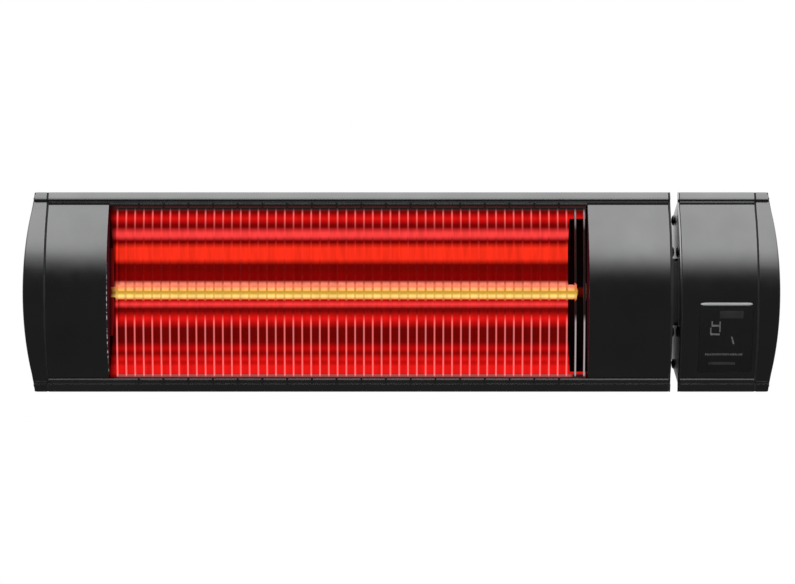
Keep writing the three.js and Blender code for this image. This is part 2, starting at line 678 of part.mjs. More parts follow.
// end cap: its outer face crowns outwards and its outer edge is rounded
const endCap = (jointX, side) => {
  const outline = endOutline();
  const ring = (inset, drop) =>
    insetEnd(inset).map(([y, z], i) => {
      const x = drop === null ? 0 : capThickness(outline[i][1]) - drop;
      return new THREE.Vector3(jointX + side * x, y, z);
    });
  const edge = Array.from({ length: CAP_EDGE_STEPS + 1 }, (_, i) => {
    const turn = (Math.PI * i) / (2 * CAP_EDGE_STEPS);
    return ring(CAP_EDGE * (1 - Math.cos(turn)), CAP_EDGE * (1 - Math.sin(turn)));
  });
  const shell = loftRings([ring(0, null), ...edge]);
  const span = (from, to) => [from, to].map((x) => jointX + side * x).sort((a, b) => a - b);
  const pocket = solidOf(extrudeX(coreOutline(CAP_WALL), ...span(-CUT_MARGIN, CAP_POCKET)));
  const bosses = joined(PORTS.map((port) =>
    rodX(CAP_BOSS, ...span(-CUT_MARGIN, CAP_POCKET), port)));
  const holes = PORTS.map((port) =>
    rodX(SCREW_RADIUS + HOLE_CLEARANCE, ...span(-CUT_MARGIN, capThickness(0) + CUT_MARGIN), port));
  const counterbores = PORTS.map((port) => {
    const floor = capThickness(port[1]) - CAP_COUNTERBORE;
    const reach = capThickness(0) + CUT_MARGIN;
    return rodX(SCREW_HEAD_RADIUS + HOLE_CLEARANCE, ...span(floor, reach), port);
  });
  const body = solidOf(shell).subtract(pocket.subtract(bosses));
  return geometryOf(body.subtract(joined([...holes, ...counterbores])));
};

const capGasket = (x0) =>
  extrudeX(insetEnd(GASKET_INSET), x0, x0 + GASKET, [coreOutline(GASKET_WIDTH).reverse()]);

// pan head screw along X; its head's underside is at x and it points towards direction
const screw = (x, port, direction) => {
  const length = direction * SCREW_LENGTH;
  const head = -direction * SCREW_HEAD;
  const profile = [
    [0, x + length], [SCREW_RADIUS, x + length], [SCREW_RADIUS, x],
    [SCREW_HEAD_RADIUS, x], [SCREW_HEAD_RADIUS, x + head * 0.5],
    [SCREW_HEAD_RADIUS * HEAD_CROWN, x + head], [0, x + head],
  ];
  return turnX(direction > 0 ? profile.reverse() : profile, port, SMALL_SIDES);
};

const screwSet = (label, seatOf, direction, finish) =>
  PORTS.map((port, i) => named(`${label}_${i + 1}`, screw(seatOf(port), port, direction), finish));

const connectingNeck = () => {
  const x0 = MAIN_PLATE_X - NECK_REACH;
  const x1 = POD_PLATE_X + END_PLATE + NECK_REACH;
  const flange = neckOutline(NECK_FLANGE_LIP);
  const firstFlange = MAIN_FACE_X + SEAT_GAP;
  const lastFlange = POD_PLATE_X - SEAT_GAP;
  return combine(
    [
      extrudeX(neckOutline(0), x0, x1),
      extrudeX(flange, firstFlange, firstFlange + NECK_FLANGE),
      extrudeX(flange, lastFlange - NECK_FLANGE, lastFlange),
    ],
    [extrudeX(neckOutline(-NECK_WALL), x0 - CUT_MARGIN, x1 + CUT_MARGIN)],
  );
};

// ---------------------------------------------------------------- guard and reflector

// the run of a guard wire: an arc in the plane of one x
class GuardRun extends THREE.Curve {
  constructor(x) {
    super();
    this.x = x;
  }

  getPoint(t) {
    const z = GUARD_BORDER_Z * (1 - 2 * t);
    return new THREE.Vector3(this.x, guardY(z), z);
  }
}

const alongPath = (path, radius, sides, steps) =>
  new THREE.ExtrudeGeometry(outlineShape(circlePoints(radius, sides)), {
    steps,
    extrudePath: path,
  });

const lampGuard = () => {
  const lastX = GUARD_LEFT + (GUARD_COUNT - 1) * GUARD_PITCH;
  const middleY = guardY(0) + GUARD_MIDDLE_INSET;
  const borderEnds = [GUARD_LEFT - GUARD_BORDER_REACH, lastX + GUARD_BORDER_REACH];
  const pieces = [rodX(GUARD_WIRE, GUARD_LEFT, lastX, [middleY, 0], GUARD_SIDES)];
  for (const side of [1, -1]) {
    const border = [GUARD_BORDER_Y, side * GUARD_BORDER_Z];
    pieces.push(rodX(GUARD_BORDER, ...borderEnds, border, GUARD_BORDER_SIDES));
    for (let i = 0; i < HOOK_COUNT; i++) {
      pieces.push(guardHook(HOOK_LEFT + i * HOOK_PITCH, side));
    }
  }
  for (let i = 0; i < GUARD_COUNT; i++) {
    const run = new GuardRun(GUARD_LEFT + i * GUARD_PITCH);
    pieces.push(alongPath(run, GUARD_WIRE, GUARD_SIDES, GUARD_STEPS));
  }
  return combine(pieces);
};

// hook of bent wire that reaches from the border wire over the retaining rib
const guardHook = (x, side) => {
  const wire = 2 * HOOK_WIRE;
  const front = -RIB_FRONT - SEAT_GAP - wire;
  const over = RIB_TOP + SEAT_GAP;
  const low = GUARD_BORDER_Z - HOOK_WIRE;
  const outline = [
    [GUARD_BORDER_Y, low], [GUARD_BORDER_Y, low + wire],
    [front + wire, low + wire], [front + wire, over],
    [GROOVE_DEPTH - SEAT_GAP, over], [GROOVE_DEPTH - SEAT_GAP, over + wire],
    [front, over + wire], [front, low],
  ];
  return extrudeX(side > 0 ? outline : mirrored(outline), x - HOOK_WIRE, x + HOOK_WIRE);
};

const reflector = () => {
  const half = REFLECTOR_BENDS.map(([y, drop]) => [y, REFLECTOR_TOP - drop]);
  const run = [...half, [REFLECTOR_RIDGE_Y, 0], ...mirrored(half).reverse()];
  const outline = [...run, ...offsetChain(run, -REFLECTOR_WALL).reverse()];
  const x1 = WINDOW_RIGHT - 3 * SEAT_GAP;
  const notch = REFLECTOR_TOP - REFLECTOR_FLANGE;
  return combine(
    [extrudeX(outline, WINDOW_LEFT + SEAT_GAP, x1)],
    [box(x1 - REFLECTOR_NOTCH, x1 + CUT_MARGIN, -CUT_MARGIN, BACK_Y, -notch, notch)],
  );
};

// ---------------------------------------------------------------- lamp

const lampAxis = [LAMP_Y, 0];

const lampTube = () => {
  const end = TUBE_HALF;
  const shoulder = TUBE_HALF - LAMP_PINCH;
  const pinch = shoulder + LAMP_SHOULDER;
  const pinchBore = LAMP_PINCH_RADIUS - (LAMP_RADIUS - LAMP_BORE);
  return turnX([
    [LAMP_PINCH_RADIUS, -end], [LAMP_PINCH_RADIUS, -pinch], [LAMP_RADIUS, -shoulder],
    [LAMP_RADIUS, shoulder], [LAMP_PINCH_RADIUS, pinch], [LAMP_PINCH_RADIUS, end],
    [pinchBore, end], [pinchBore, pinch], [LAMP_BORE, shoulder],
    [LAMP_BORE, -shoulder], [pinchBore, -pinch], [pinchBore, -end],
    [LAMP_PINCH_RADIUS, -end],
  ], lampAxis).translate(LAMP_X, 0, 0);
};

const lampFilament = () => {
  const half = LAMP_HALF - FILAMENT_MARGIN;
  return turnX([
    [0, -TUBE_HALF], [FILAMENT_LEAD_RADIUS, -TUBE_HALF],
    [FILAMENT_LEAD_RADIUS, -half - FILAMENT_TAPER],
    [FILAMENT_RADIUS, -half], [FILAMENT_RADIUS, half],
    [FILAMENT_LEAD_RADIUS, half + FILAMENT_TAPER],
    [FILAMENT_LEAD_RADIUS, TUBE_HALF], [0, TUBE_HALF],
  ], lampAxis, SMALL_SIDES).translate(LAMP_X, 0, 0);
};

const lampBase = (side) => {
  const inner = LAMP_X + side * (LAMP_HALF - LAMP_BASE_LENGTH);
  const outer = LAMP_X + side * LAMP_HALF;
  const step = LAMP_X + side * (LAMP_HALF - LAMP_BASE_TIP);
  const profile = [
    [0, inner], [LAMP_BASE_RADIUS, inner], [LAMP_BASE_RADIUS, step],
    [LAMP_BASE_TIP_RADIUS, step], [LAMP_BASE_TIP_RADIUS, outer], [0, outer],
  ];
  return turnX(side > 0 ? profile : profile.reverse(), lampAxis);
};

// the plate that the lamp passes through at each end of the window
const bracketX = (side) => (side < 0 ? WINDOW_LEFT - SEAT_GAP : WINDOW_RIGHT - SEAT_GAP);

const lampBracket = (side) => {
  const near = bracketX(side);
  const rear = BACK_INNER_Y - SEAT_GAP;
  const outline = [
    [near, BRACKET_FRONT_Y], [near + side * BRACKET_SHEET, BRACKET_FRONT_Y],
    [near + side * BRACKET_SHEET, rear - BRACKET_SHEET],
    [near + side * BRACKET_FOOT, rear - BRACKET_SHEET],
    [near + side * BRACKET_FOOT, rear], [near, rear],
  ];
  const reach = BRACKET_SHEET + CUT_MARGIN;
  const holeRadius = LAMP_BASE_RADIUS + BRACKET_CLEARANCE;
  const hole = rodX(holeRadius, near - reach, near + reach, lampAxis, ROUND_SIDES);
  return combine([extrudeZ(outline, -BRACKET_HALF_WIDTH, BRACKET_HALF_WIDTH)], [hole]);
};

// ceramic holder: an upright block for the contact and a shelf that reaches back to the bracket
const holderFaceX = (side) => LAMP_X + side * (LAMP_HALF + HOLDER_GAP);

const lampHolder = (side) => {
  const inner = bracketX(side) + side * (BRACKET_SHEET + SEAT_GAP);
  const face = holderFaceX(side);
  const outer = face + side * HOLDER_LENGTH;
  const shelf = LAMP_Y + HOLDER_REAR - HOLDER_SHELF;
  const outline = [
    [inner, shelf], [inner, LAMP_Y + HOLDER_REAR], [outer, LAMP_Y + HOLDER_REAR],
    [outer, LAMP_Y - HOLDER_FRONT], [face, LAMP_Y - HOLDER_FRONT], [face, shelf],
  ];
  const [x0, x1] = [face - side * CUT_MARGIN, outer + side * CUT_MARGIN].sort((a, b) => a - b);
  return combine(
    [extrudeZ(outline, -HOLDER_HALF_WIDTH, HOLDER_HALF_WIDTH)],
    [rodX(CONTACT_RADIUS + SEAT_GAP, x0, x1, lampAxis)],
  );
};

// sprung contact: rests on the end of the lamp and slides outwards by CONTACT_TRAVEL
const lampContact = (side) => {
  const tip = LAMP_X + side * (LAMP_HALF + SEAT_GAP);
  const tail = HOLDER_GAP + HOLDER_LENGTH - SEAT_GAP - CONTACT_TRAVEL;
  const profile = [
    [0, tip], [CONTACT_RADIUS / 2, tip], [CONTACT_RADIUS, tip + side * CONTACT_NOSE],
    [CONTACT_RADIUS, tip + side * tail], [0, tip + side * tail],
  ];
  return turnX(side > 0 ? profile : profile.reverse(), lampAxis, SMALL_SIDES);
};

// ---------------------------------------------------------------- electronics

const centredBox = ([width, depth, height], x, yFront, z) =>
  box(x - width / 2, x + width / 2, yFront, yFront + depth, z - height / 2, z + height / 2);

const controlBoard = () => {
  const right = POD_RIGHT - BOARD_TO_GASKET;
  return box(right - BOARD_WIDTH, right, BOARD_Y, BOARD_Y + BOARD_THICKNESS,
    -BOARD_HALF, BOARD_HALF);
};

const displayModule = () => {
  const [, depth, height] = DISPLAY_MODULE;
  return centredBox(DISPLAY_MODULE, DISPLAY_CENTRE_X, BOARD_Y - SEAT_GAP - depth,
    DISPLAY_TOP - DISPLAY_MODULE_DROP - height / 2);
};

const powerRelay = () =>
  centredBox(RELAY, DISPLAY_CENTRE_X, BOARD_Y + BOARD_THICKNESS + SEAT_GAP,
    BOARD_HALF - RELAY_DROP - RELAY[2] / 2);

// finned block on the back wall of the pod
const heatSink = () => {
  const [width, depth, height] = HEAT_SINK;
  const rear = BACK_INNER_Y - SEAT_GAP;
  const x0 = DISPLAY_CENTRE_X - width / 2;
  const fins = Array.from({ length: HEAT_SINK_FINS }, (_, i) => {
    const x = x0 + ((width - HEAT_SINK_FIN) * i) / (HEAT_SINK_FINS - 1);
    return box(x, x + HEAT_SINK_FIN, rear - depth, rear - HEAT_SINK_BASE / 2,
      -height / 2, height / 2);
  });
  const base = box(x0, x0 + width, rear - HEAT_SINK_BASE, rear, -height / 2, height / 2);
  return combine([base, ...fins]);
};

const terminalBlock = () => {
  const width = TERMINAL_POLES * TERMINAL_PITCH;
  const rear = BACK_INNER_Y - SEAT_GAP;
  const front = rear - TERMINAL_DEPTH;
  const left = bracketX(1) + BRACKET_FOOT + TERMINAL_TO_BRACKET;
  const middle = TERMINAL_Z + TERMINAL_HEIGHT / 2;
  const wells = Array.from({ length: TERMINAL_POLES }, (_, i) => {
    const x = left + TERMINAL_PITCH * (i + 0.5);
    return rodY(TERMINAL_WELL, front - CUT_MARGIN, front + TERMINAL_WELL_DEPTH, x, middle);
  });
  return combine(
    [box(left, left + width, front, rear, TERMINAL_Z, TERMINAL_Z + TERMINAL_HEIGHT)],
    wells,
  );
};

// ---------------------------------------------------------------- cable gland

const glandCentre = [GLAND_Z, GLAND_X];
const glandRing = (radius, sides) => circlePoints(radius, sides, glandCentre);

const glandBody = () => {
  const seat = BACK_Y + SEAT_GAP;
  const rear = seat + GLAND_HEX_LENGTH;
  return combine(
    [
      extrudeY(glandRing(GLAND_HEX, 6), seat, rear),
      extrudeY(glandRing(GLAND_THREAD, ROUND_SIDES), BACK_Y - GLAND_THREAD_LENGTH,
        seat + JOIN_OVERLAP),
      extrudeY(glandRing(GLAND_NECK, ROUND_SIDES), rear - JOIN_OVERLAP, rear + GLAND_NECK_LENGTH),
    ],
    [extrudeY(glandRing(GLAND_BORE, ROUND_SIDES), BACK_Y - GLAND_THREAD_LENGTH - CUT_MARGIN,
      rear + GLAND_NECK_LENGTH + CUT_MARGIN)],
  );
};

const glandNut = () => {
  const y0 = BACK_Y + 2 * SEAT_GAP + GLAND_HEX_LENGTH;
  const y1 = y0 + GLAND_NUT_LENGTH;
  const step = y1 - GLAND_NUT_STEP;
  return combine(
    [
      extrudeY(glandRing(GLAND_NUT_RADIUS, ROUND_SIDES), y0, step),
      extrudeY(glandRing(GLAND_NUT_RADIUS - GLAND_NUT_STEP, ROUND_SIDES), step - JOIN_OVERLAP, y1),
    ],
    [
      extrudeY(glandRing(GLAND_NECK + HOLE_CLEARANCE, ROUND_SIDES), y0 - CUT_MARGIN,
        y0 + GLAND_NECK_LENGTH + SEAT_GAP),
      extrudeY(glandRing(GLAND_BORE, ROUND_SIDES), y0, y1 + CUT_MARGIN),
    ],
  );
};

// ---------------------------------------------------------------- wall bracket

// side view [y, z] of an ear: round about the pivot, straight back to its plate at plateY
const earOutline = (plateY) => {
  const reach = Math.sign(plateY - PIVOT_Y);
  const nose = Array.from({ length: EAR_STEPS + 1 }, (_, i) => {
    const turn = -Math.PI / 2 + (Math.PI * i) / EAR_STEPS;
    return [PIVOT_Y - reach * EAR_RADIUS * Math.cos(turn), EAR_RADIUS * Math.sin(turn)];
  });
  return [...nose, [plateY, EAR_RADIUS], [plateY, -EAR_RADIUS]];
};

const pivotHole = (x0, x1) =>
  rodX(PIVOT_BOLT + HOLE_CLEARANCE, x0 - CUT_MARGIN, x1 + CUT_MARGIN, [PIVOT_Y, 0], ROUND_SIDES);

const pairedEars = (innerX, plateY) => {
  const outerX = innerX + STEEL;
  const outline = earOutline(plateY);
  return {
    ears: [extrudeX(outline, innerX, outerX), extrudeX(outline, -outerX, -innerX)],
    holes: [pivotHole(innerX, outerX), pivotHole(-outerX, -innerX)],
  };
};

const wallPlate = () => {
  const { ears, holes } = pairedEars(EAR_INNER_X, LIP_TO_WALL - STEEL / 2);
  const halfWidth = WALL_PLATE_WIDTH / 2;
  const halfHeight = WALL_PLATE_HEIGHT / 2;
  const plate = rectanglePoints(-halfHeight, halfHeight, -halfWidth, halfWidth);
  const wallHoles = [-1, 1].flatMap((sx) => [-1, 1].map((sz) =>
    circlePoints(WALL_HOLE, SMALL_SIDES, [sz * WALL_HOLE_Z, sx * WALL_HOLE_X]).reverse()));
  return combine([extrudeY(plate, LIP_TO_WALL - STEEL, LIP_TO_WALL, wallHoles), ...ears], holes);
};

const tiltArm = () => {
  const plateY = BACK_Y + SEAT_GAP;
  const { ears, holes } = pairedEars(ARM_OUTER_X - STEEL, plateY + STEEL / 2);
  const plate = rectanglePoints(-ARM_HALF_HEIGHT, ARM_HALF_HEIGHT, -ARM_OUTER_X, ARM_OUTER_X);
  const boltHoles = [-1, 1].map((side) =>
    circlePoints(MOUNT_BOLT + HOLE_CLEARANCE, SMALL_SIDES, [0, side * MOUNT_BOLT_X]).reverse());
  return combine([extrudeY(plate, plateY, plateY + STEEL, boltHoles), ...ears], holes);
};

const frictionWasher = (side) => {
  const x0 = ARM_OUTER_X + SEAT_GAP;
  const [a, b] = [side * x0, side * (x0 + WASHER)].sort((p, q) => p - q);
  const centre = [PIVOT_Y, 0];
  const hole = circlePoints(PIVOT_BOLT + HOLE_CLEARANCE, ROUND_SIDES, centre).reverse();
  return extrudeX(circlePoints(WASHER_RADIUS, ROUND_SIDES, centre), a, b, [hole]);
};

const pivotBolt = (side) => {
  const seat = ARM_OUTER_X - STEEL - SEAT_GAP;
  const tip = KNOB_SEAT_X + KNOB_LENGTH - KNOB_CROWN - KNOB_TIP_GAP;
  const profile = [
    [0, seat - PIVOT_HEAD], [PIVOT_HEAD_RADIUS * HEAD_CROWN, seat - PIVOT_HEAD],
    [PIVOT_HEAD_RADIUS, seat - PIVOT_HEAD / 2], [PIVOT_HEAD_RADIUS, seat],
    [PIVOT_BOLT, seat], [PIVOT_BOLT, tip], [0, tip],
  ];
  const geometry = turnX(profile, [0, 0]);
  return (side > 0 ? geometry : geometry.rotateZ(Math.PI)).translate(0, PIVOT_Y, 0);
};

const clampKnob = (side) => {
  const steps = KNOB_LOBES * KNOB_LOBE_STEPS;
  const points = Array.from({ length: steps }, (_, i) => {
    const turn = (2 * Math.PI * i) / steps;
    const radius = KNOB_RADIUS - (KNOB_LOBE * (1 - Math.cos(KNOB_LOBES * turn))) / 2;
    return [PIVOT_Y + radius * Math.cos(turn), radius * Math.sin(turn)];
  });
  const hub = circlePoints(KNOB_HUB_RADIUS, ROUND_SIDES, [PIVOT_Y, 0]);
  const ordered = (from, to) => [side * from, side * to].sort((a, b) => a - b);
  const collar = KNOB_SEAT_X + KNOB_COLLAR;
  const end = KNOB_SEAT_X + KNOB_LENGTH;
  return combine(
    [
      extrudeX(points, ...ordered(collar, end)),
      extrudeX(hub, ...ordered(KNOB_SEAT_X, collar + JOIN_OVERLAP)),
    ],
    [rodX(PIVOT_BOLT + HOLE_CLEARANCE, ...ordered(KNOB_SEAT_X - CUT_MARGIN, end - KNOB_CROWN),
      [PIVOT_Y, 0], ROUND_SIDES)],
  );
};

const mountBolt = (side) => {
  const seat = BACK_Y + 2 * SEAT_GAP + STEEL;
  const centre = [0, side * MOUNT_BOLT_X];
  const tip = BACK_INNER_Y - SEAT_GAP - NUT_PLATE[1] - MOUNT_BOLT_TAIL;
  return combine([
    extrudeY(circlePoints(MOUNT_BOLT_HEX, 6, centre), seat, seat + MOUNT_BOLT_HEAD),
    extrudeY(circlePoints(MOUNT_BOLT, SMALL_SIDES, centre), tip, seat + JOIN_OVERLAP),
  ]);
};

const nutPlate = () => {
  const [width, depth, height] = NUT_PLATE;
  const rear = BACK_INNER_Y - SEAT_GAP;
  const outline = rectanglePoints(-height / 2, height / 2, -width / 2, width / 2);
  const holes = [-1, 1].map((side) =>
    circlePoints(MOUNT_BOLT + HOLE_CLEARANCE, SMALL_SIDES, [0, side * MOUNT_BOLT_X]).reverse());
  return extrudeY(outline, rear - depth, rear, holes);
};

// ---------------------------------------------------------------- assembly

const housingGroup = () => {
  const group = new THREE.Group();
  group.add(
    named('main_housing', mainHousing(), blackAluminium),
    named('pod_housing', podHousing(), blackAluminium),
    named('left_front_panel', leftPanel(), blackPanel),
    named('right_front_panel', rightPanel(), blackPanel),
    named('pod_front_panel', podPanel(), blackPanel),
    named('left_end_cap', endCap(LEFT_CAP_X, -1), blackCast),
    named('right_end_cap', endCap(RIGHT_CAP_X, 1), blackCast),
    named('left_cap_gasket', capGasket(LEFT_CAP_X + SEAT_GAP), sealRubber),
    named('right_cap_gasket', capGasket(RIGHT_CAP_X - SEAT_GAP - GASKET), sealRubber),
    named('main_end_plate', endPlate(MAIN_PLATE_X), blackAluminium),
    named('pod_end_plate', endPlate(POD_PLATE_X), blackAluminium),
    named('connecting_neck', connectingNeck(), blackPlastic),
  );
  const capSeat = (jointX, side) => ([, z]) =>
    jointX + side * (capThickness(z) - CAP_COUNTERBORE + SEAT_GAP);
  group.add(
    ...screwSet('left_cap_screw', capSeat(LEFT_CAP_X, -1), 1, zincSteel),
    ...screwSet('right_cap_screw', capSeat(RIGHT_CAP_X, 1), -1, zincSteel),
    ...screwSet('main_plate_screw', () => MAIN_FACE_X + SEAT_GAP, -1, zincSteel),
    ...screwSet('pod_plate_screw', () => POD_PLATE_X - SEAT_GAP, 1, zincSteel),
  );
  return group;
};

const lampGroup = () => {
  const group = new THREE.Group();
  group.add(
    named('lamp_guard', lampGuard(), brightWire),
    named('reflector', reflector(), goldReflector),
    named('lamp_tube', lampTube(), rubyQuartz),
    named('lamp_filament', lampFilament(), glowingTungsten),
  );
  for (const [label, side] of [['left', -1], ['right', 1]]) {
    group.add(
      named(`${label}_lamp_base`, lampBase(side), steatite),
      named(`${label}_lamp_bracket`, lampBracket(side), zincSteel),
      named(`${label}_lamp_holder`, lampHolder(side), steatite),
      named(`${label}_contact`, lampContact(side), brassContact),
    );
  }
  return group;
};

const electricsGroup = () => {
  const group = new THREE.Group();
  const display = frontInsert(DISPLAY_WIDTH, DISPLAY_TOP, DISPLAY_BOTTOM, FRONT_STEPS);
  const lightBar = frontInsert(LIGHT_BAR_WIDTH, LIGHT_BAR_TOP, LIGHT_BAR_BOTTOM, 1);
  group.add(
    named('display_window', display, smokedAcrylic),
    named('light_bar', lightBar, silverBar),
    named('control_board', controlBoard(), boardGreen),
    named('display_module', displayModule(), displayRed),
    named('power_relay', powerRelay(), relayBlue),
    named('heat_sink', heatSink(), bareAluminium),
    named('terminal_block', terminalBlock(), terminalPlastic),
    named('cable_gland', glandBody(), blackPlastic),
    named('gland_nut', glandNut(), blackPlastic),
  );
  return group;
};

const bracketGroup = () => {
  const group = new THREE.Group();
  group.add(
    named('wall_plate', wallPlate(), blackSteel),
    named('tilt_arm', tiltArm(), blackSteel),
    named('nut_plate', nutPlate(), zincSteel),
  );
  for (const [label, side] of [['left', -1], ['right', 1]]) {
    group.add(
      named(`${label}_friction_washer`, frictionWasher(side), sealRubber),
      named(`${label}_pivot_bolt`, pivotBolt(side), zincSteel),
      named(`${label}_clamp_knob`, clampKnob(side), blackPlastic),
      named(`${label}_mount_bolt`, mountBolt(side), zincSteel),
    );
  }
  return group;
};

const heater = new THREE.Group();
heater.add(housingGroup(), lampGroup(), electricsGroup(), bracketGroup());
heater.position.y = -LIP_TO_WALL;

export default heater;
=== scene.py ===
import json
import math

import bmesh
import bpy
from mathutils import Matrix, Vector
from mathutils.geometry import tessellate_polygon

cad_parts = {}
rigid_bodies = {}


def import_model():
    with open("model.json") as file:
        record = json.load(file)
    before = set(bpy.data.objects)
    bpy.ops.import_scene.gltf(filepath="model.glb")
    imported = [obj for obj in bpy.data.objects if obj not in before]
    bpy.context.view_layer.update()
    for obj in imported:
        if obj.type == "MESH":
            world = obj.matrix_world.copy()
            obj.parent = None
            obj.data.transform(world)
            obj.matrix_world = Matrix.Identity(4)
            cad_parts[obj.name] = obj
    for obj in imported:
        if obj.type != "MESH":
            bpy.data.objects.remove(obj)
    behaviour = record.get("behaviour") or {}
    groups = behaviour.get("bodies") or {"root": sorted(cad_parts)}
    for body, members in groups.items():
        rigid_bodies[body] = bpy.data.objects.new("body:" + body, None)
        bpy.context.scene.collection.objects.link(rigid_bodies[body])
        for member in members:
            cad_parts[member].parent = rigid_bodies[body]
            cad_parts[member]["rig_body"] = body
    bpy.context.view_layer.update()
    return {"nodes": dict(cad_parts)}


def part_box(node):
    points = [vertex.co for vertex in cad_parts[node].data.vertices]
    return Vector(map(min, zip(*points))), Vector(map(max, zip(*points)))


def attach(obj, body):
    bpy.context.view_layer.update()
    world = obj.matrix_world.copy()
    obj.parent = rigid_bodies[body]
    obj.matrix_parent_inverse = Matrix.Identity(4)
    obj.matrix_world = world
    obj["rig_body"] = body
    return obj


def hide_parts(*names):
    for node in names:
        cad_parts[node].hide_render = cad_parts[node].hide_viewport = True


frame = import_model()
scene = bpy.context.scene
nodes = frame["nodes"]

# Sections are drawn in millimetres as (y, z) pairs about the plane of the front lips.
MM = 0.001
LIP_TO_WALL = 119.0
GUARD_LEFT = -193.3
GUARD_PITCH = 5.98
RAMP_HALF = 60           # colours by height run this far above and below the middle
WEAR_RADIUS = 0.0006     # metres
SIDES = (("left", -1), ("right", 1))

# ---- camera

CAMERA_X = -0.0031
CAMERA_DISTANCE = 2.5


def placed(name, data):
    """Adds an object to the scene."""
    thing = bpy.data.objects.new(name, data)
    scene.collection.objects.link(thing)
    return thing


camera_data = bpy.data.cameras.new("camera")
camera_data.sensor_width = 36
camera_data.lens = 166.5
camera = placed("camera", camera_data)
camera.location = (CAMERA_X, -LIP_TO_WALL * MM - CAMERA_DISTANCE, 0.0)
camera.rotation_euler = (math.pi / 2, 0, 0)
scene.camera = camera
scene.view_settings.view_transform = "Standard"


# ---- materials

def grey(level):
    return (level, level, level)


class Nodes:
    """A node tree, with calls that add nodes to it and link them."""

    def __init__(self, tree):
        self.tree = tree

    def add(self, kind, **settings):
        node = self.tree.nodes.new(kind)
        for key, value in settings.items():
            setattr(node, key, value)
        return node

    def link(self, source, target):
        self.tree.links.new(source, target)

    def put(self, value, socket):
        """Gives a socket a number, a colour or another node's output."""
        if isinstance(value, (int, float)):
            socket.default_value = value
        elif isinstance(value, tuple):
            socket.default_value = (*value, 1)
        else:
            self.link(value, socket)

    def mapped(self, source, low, high, to_low=0.0, to_high=1.0, smooth=False):
        node = self.add("ShaderNodeMapRange")
        node.interpolation_type = "SMOOTHSTEP" if smooth else "LINEAR"
        for key, value in zip(("From Min", "From Max", "To Min", "To Max"), (low, high, to_low, to_high)):
            node.inputs[key].default_value = value
        self.link(source, node.inputs["Value"])
        return node.outputs["Result"]

    def math(self, operation, *values):
        node = self.add("ShaderNodeMath", operation=operation)
        for socket, value in zip(node.inputs, values):
            self.put(value, socket)
        return node.outputs["Value"]

    def product(self, first, *others):
        for other in others:
            first = self.math("MULTIPLY", first, other)
        return first

    def ramp(self, source, stops):
        node = self.add("ShaderNodeValToRGB")
        elements = node.color_ramp.elements
        while len(elements) < len(stops):
            elements.new(0.5)
        for element, (position, colour) in zip(elements, sorted(stops)):
            element.position = position
            element.color = (*colour, 1)
        self.link(source, node.inputs["Fac"])
        return node.outputs["Color"]

    def tones(self, source, first, second, start=0.3, end=0.7):
        """Two colours mixed by a noise."""
        return self.ramp(source, [(start, first), (end, second)])

    def blend(self, factor, first, second, kind="MIX"):
        node = self.add("ShaderNodeMix", data_type="RGBA", blend_type=kind)
        for key, value in (("Factor", factor), ("A", first), ("B", second)):
            self.put(value, next(s for s in node.inputs if s.name == key and s.enabled))
        return next(s for s in node.outputs if s.enabled)


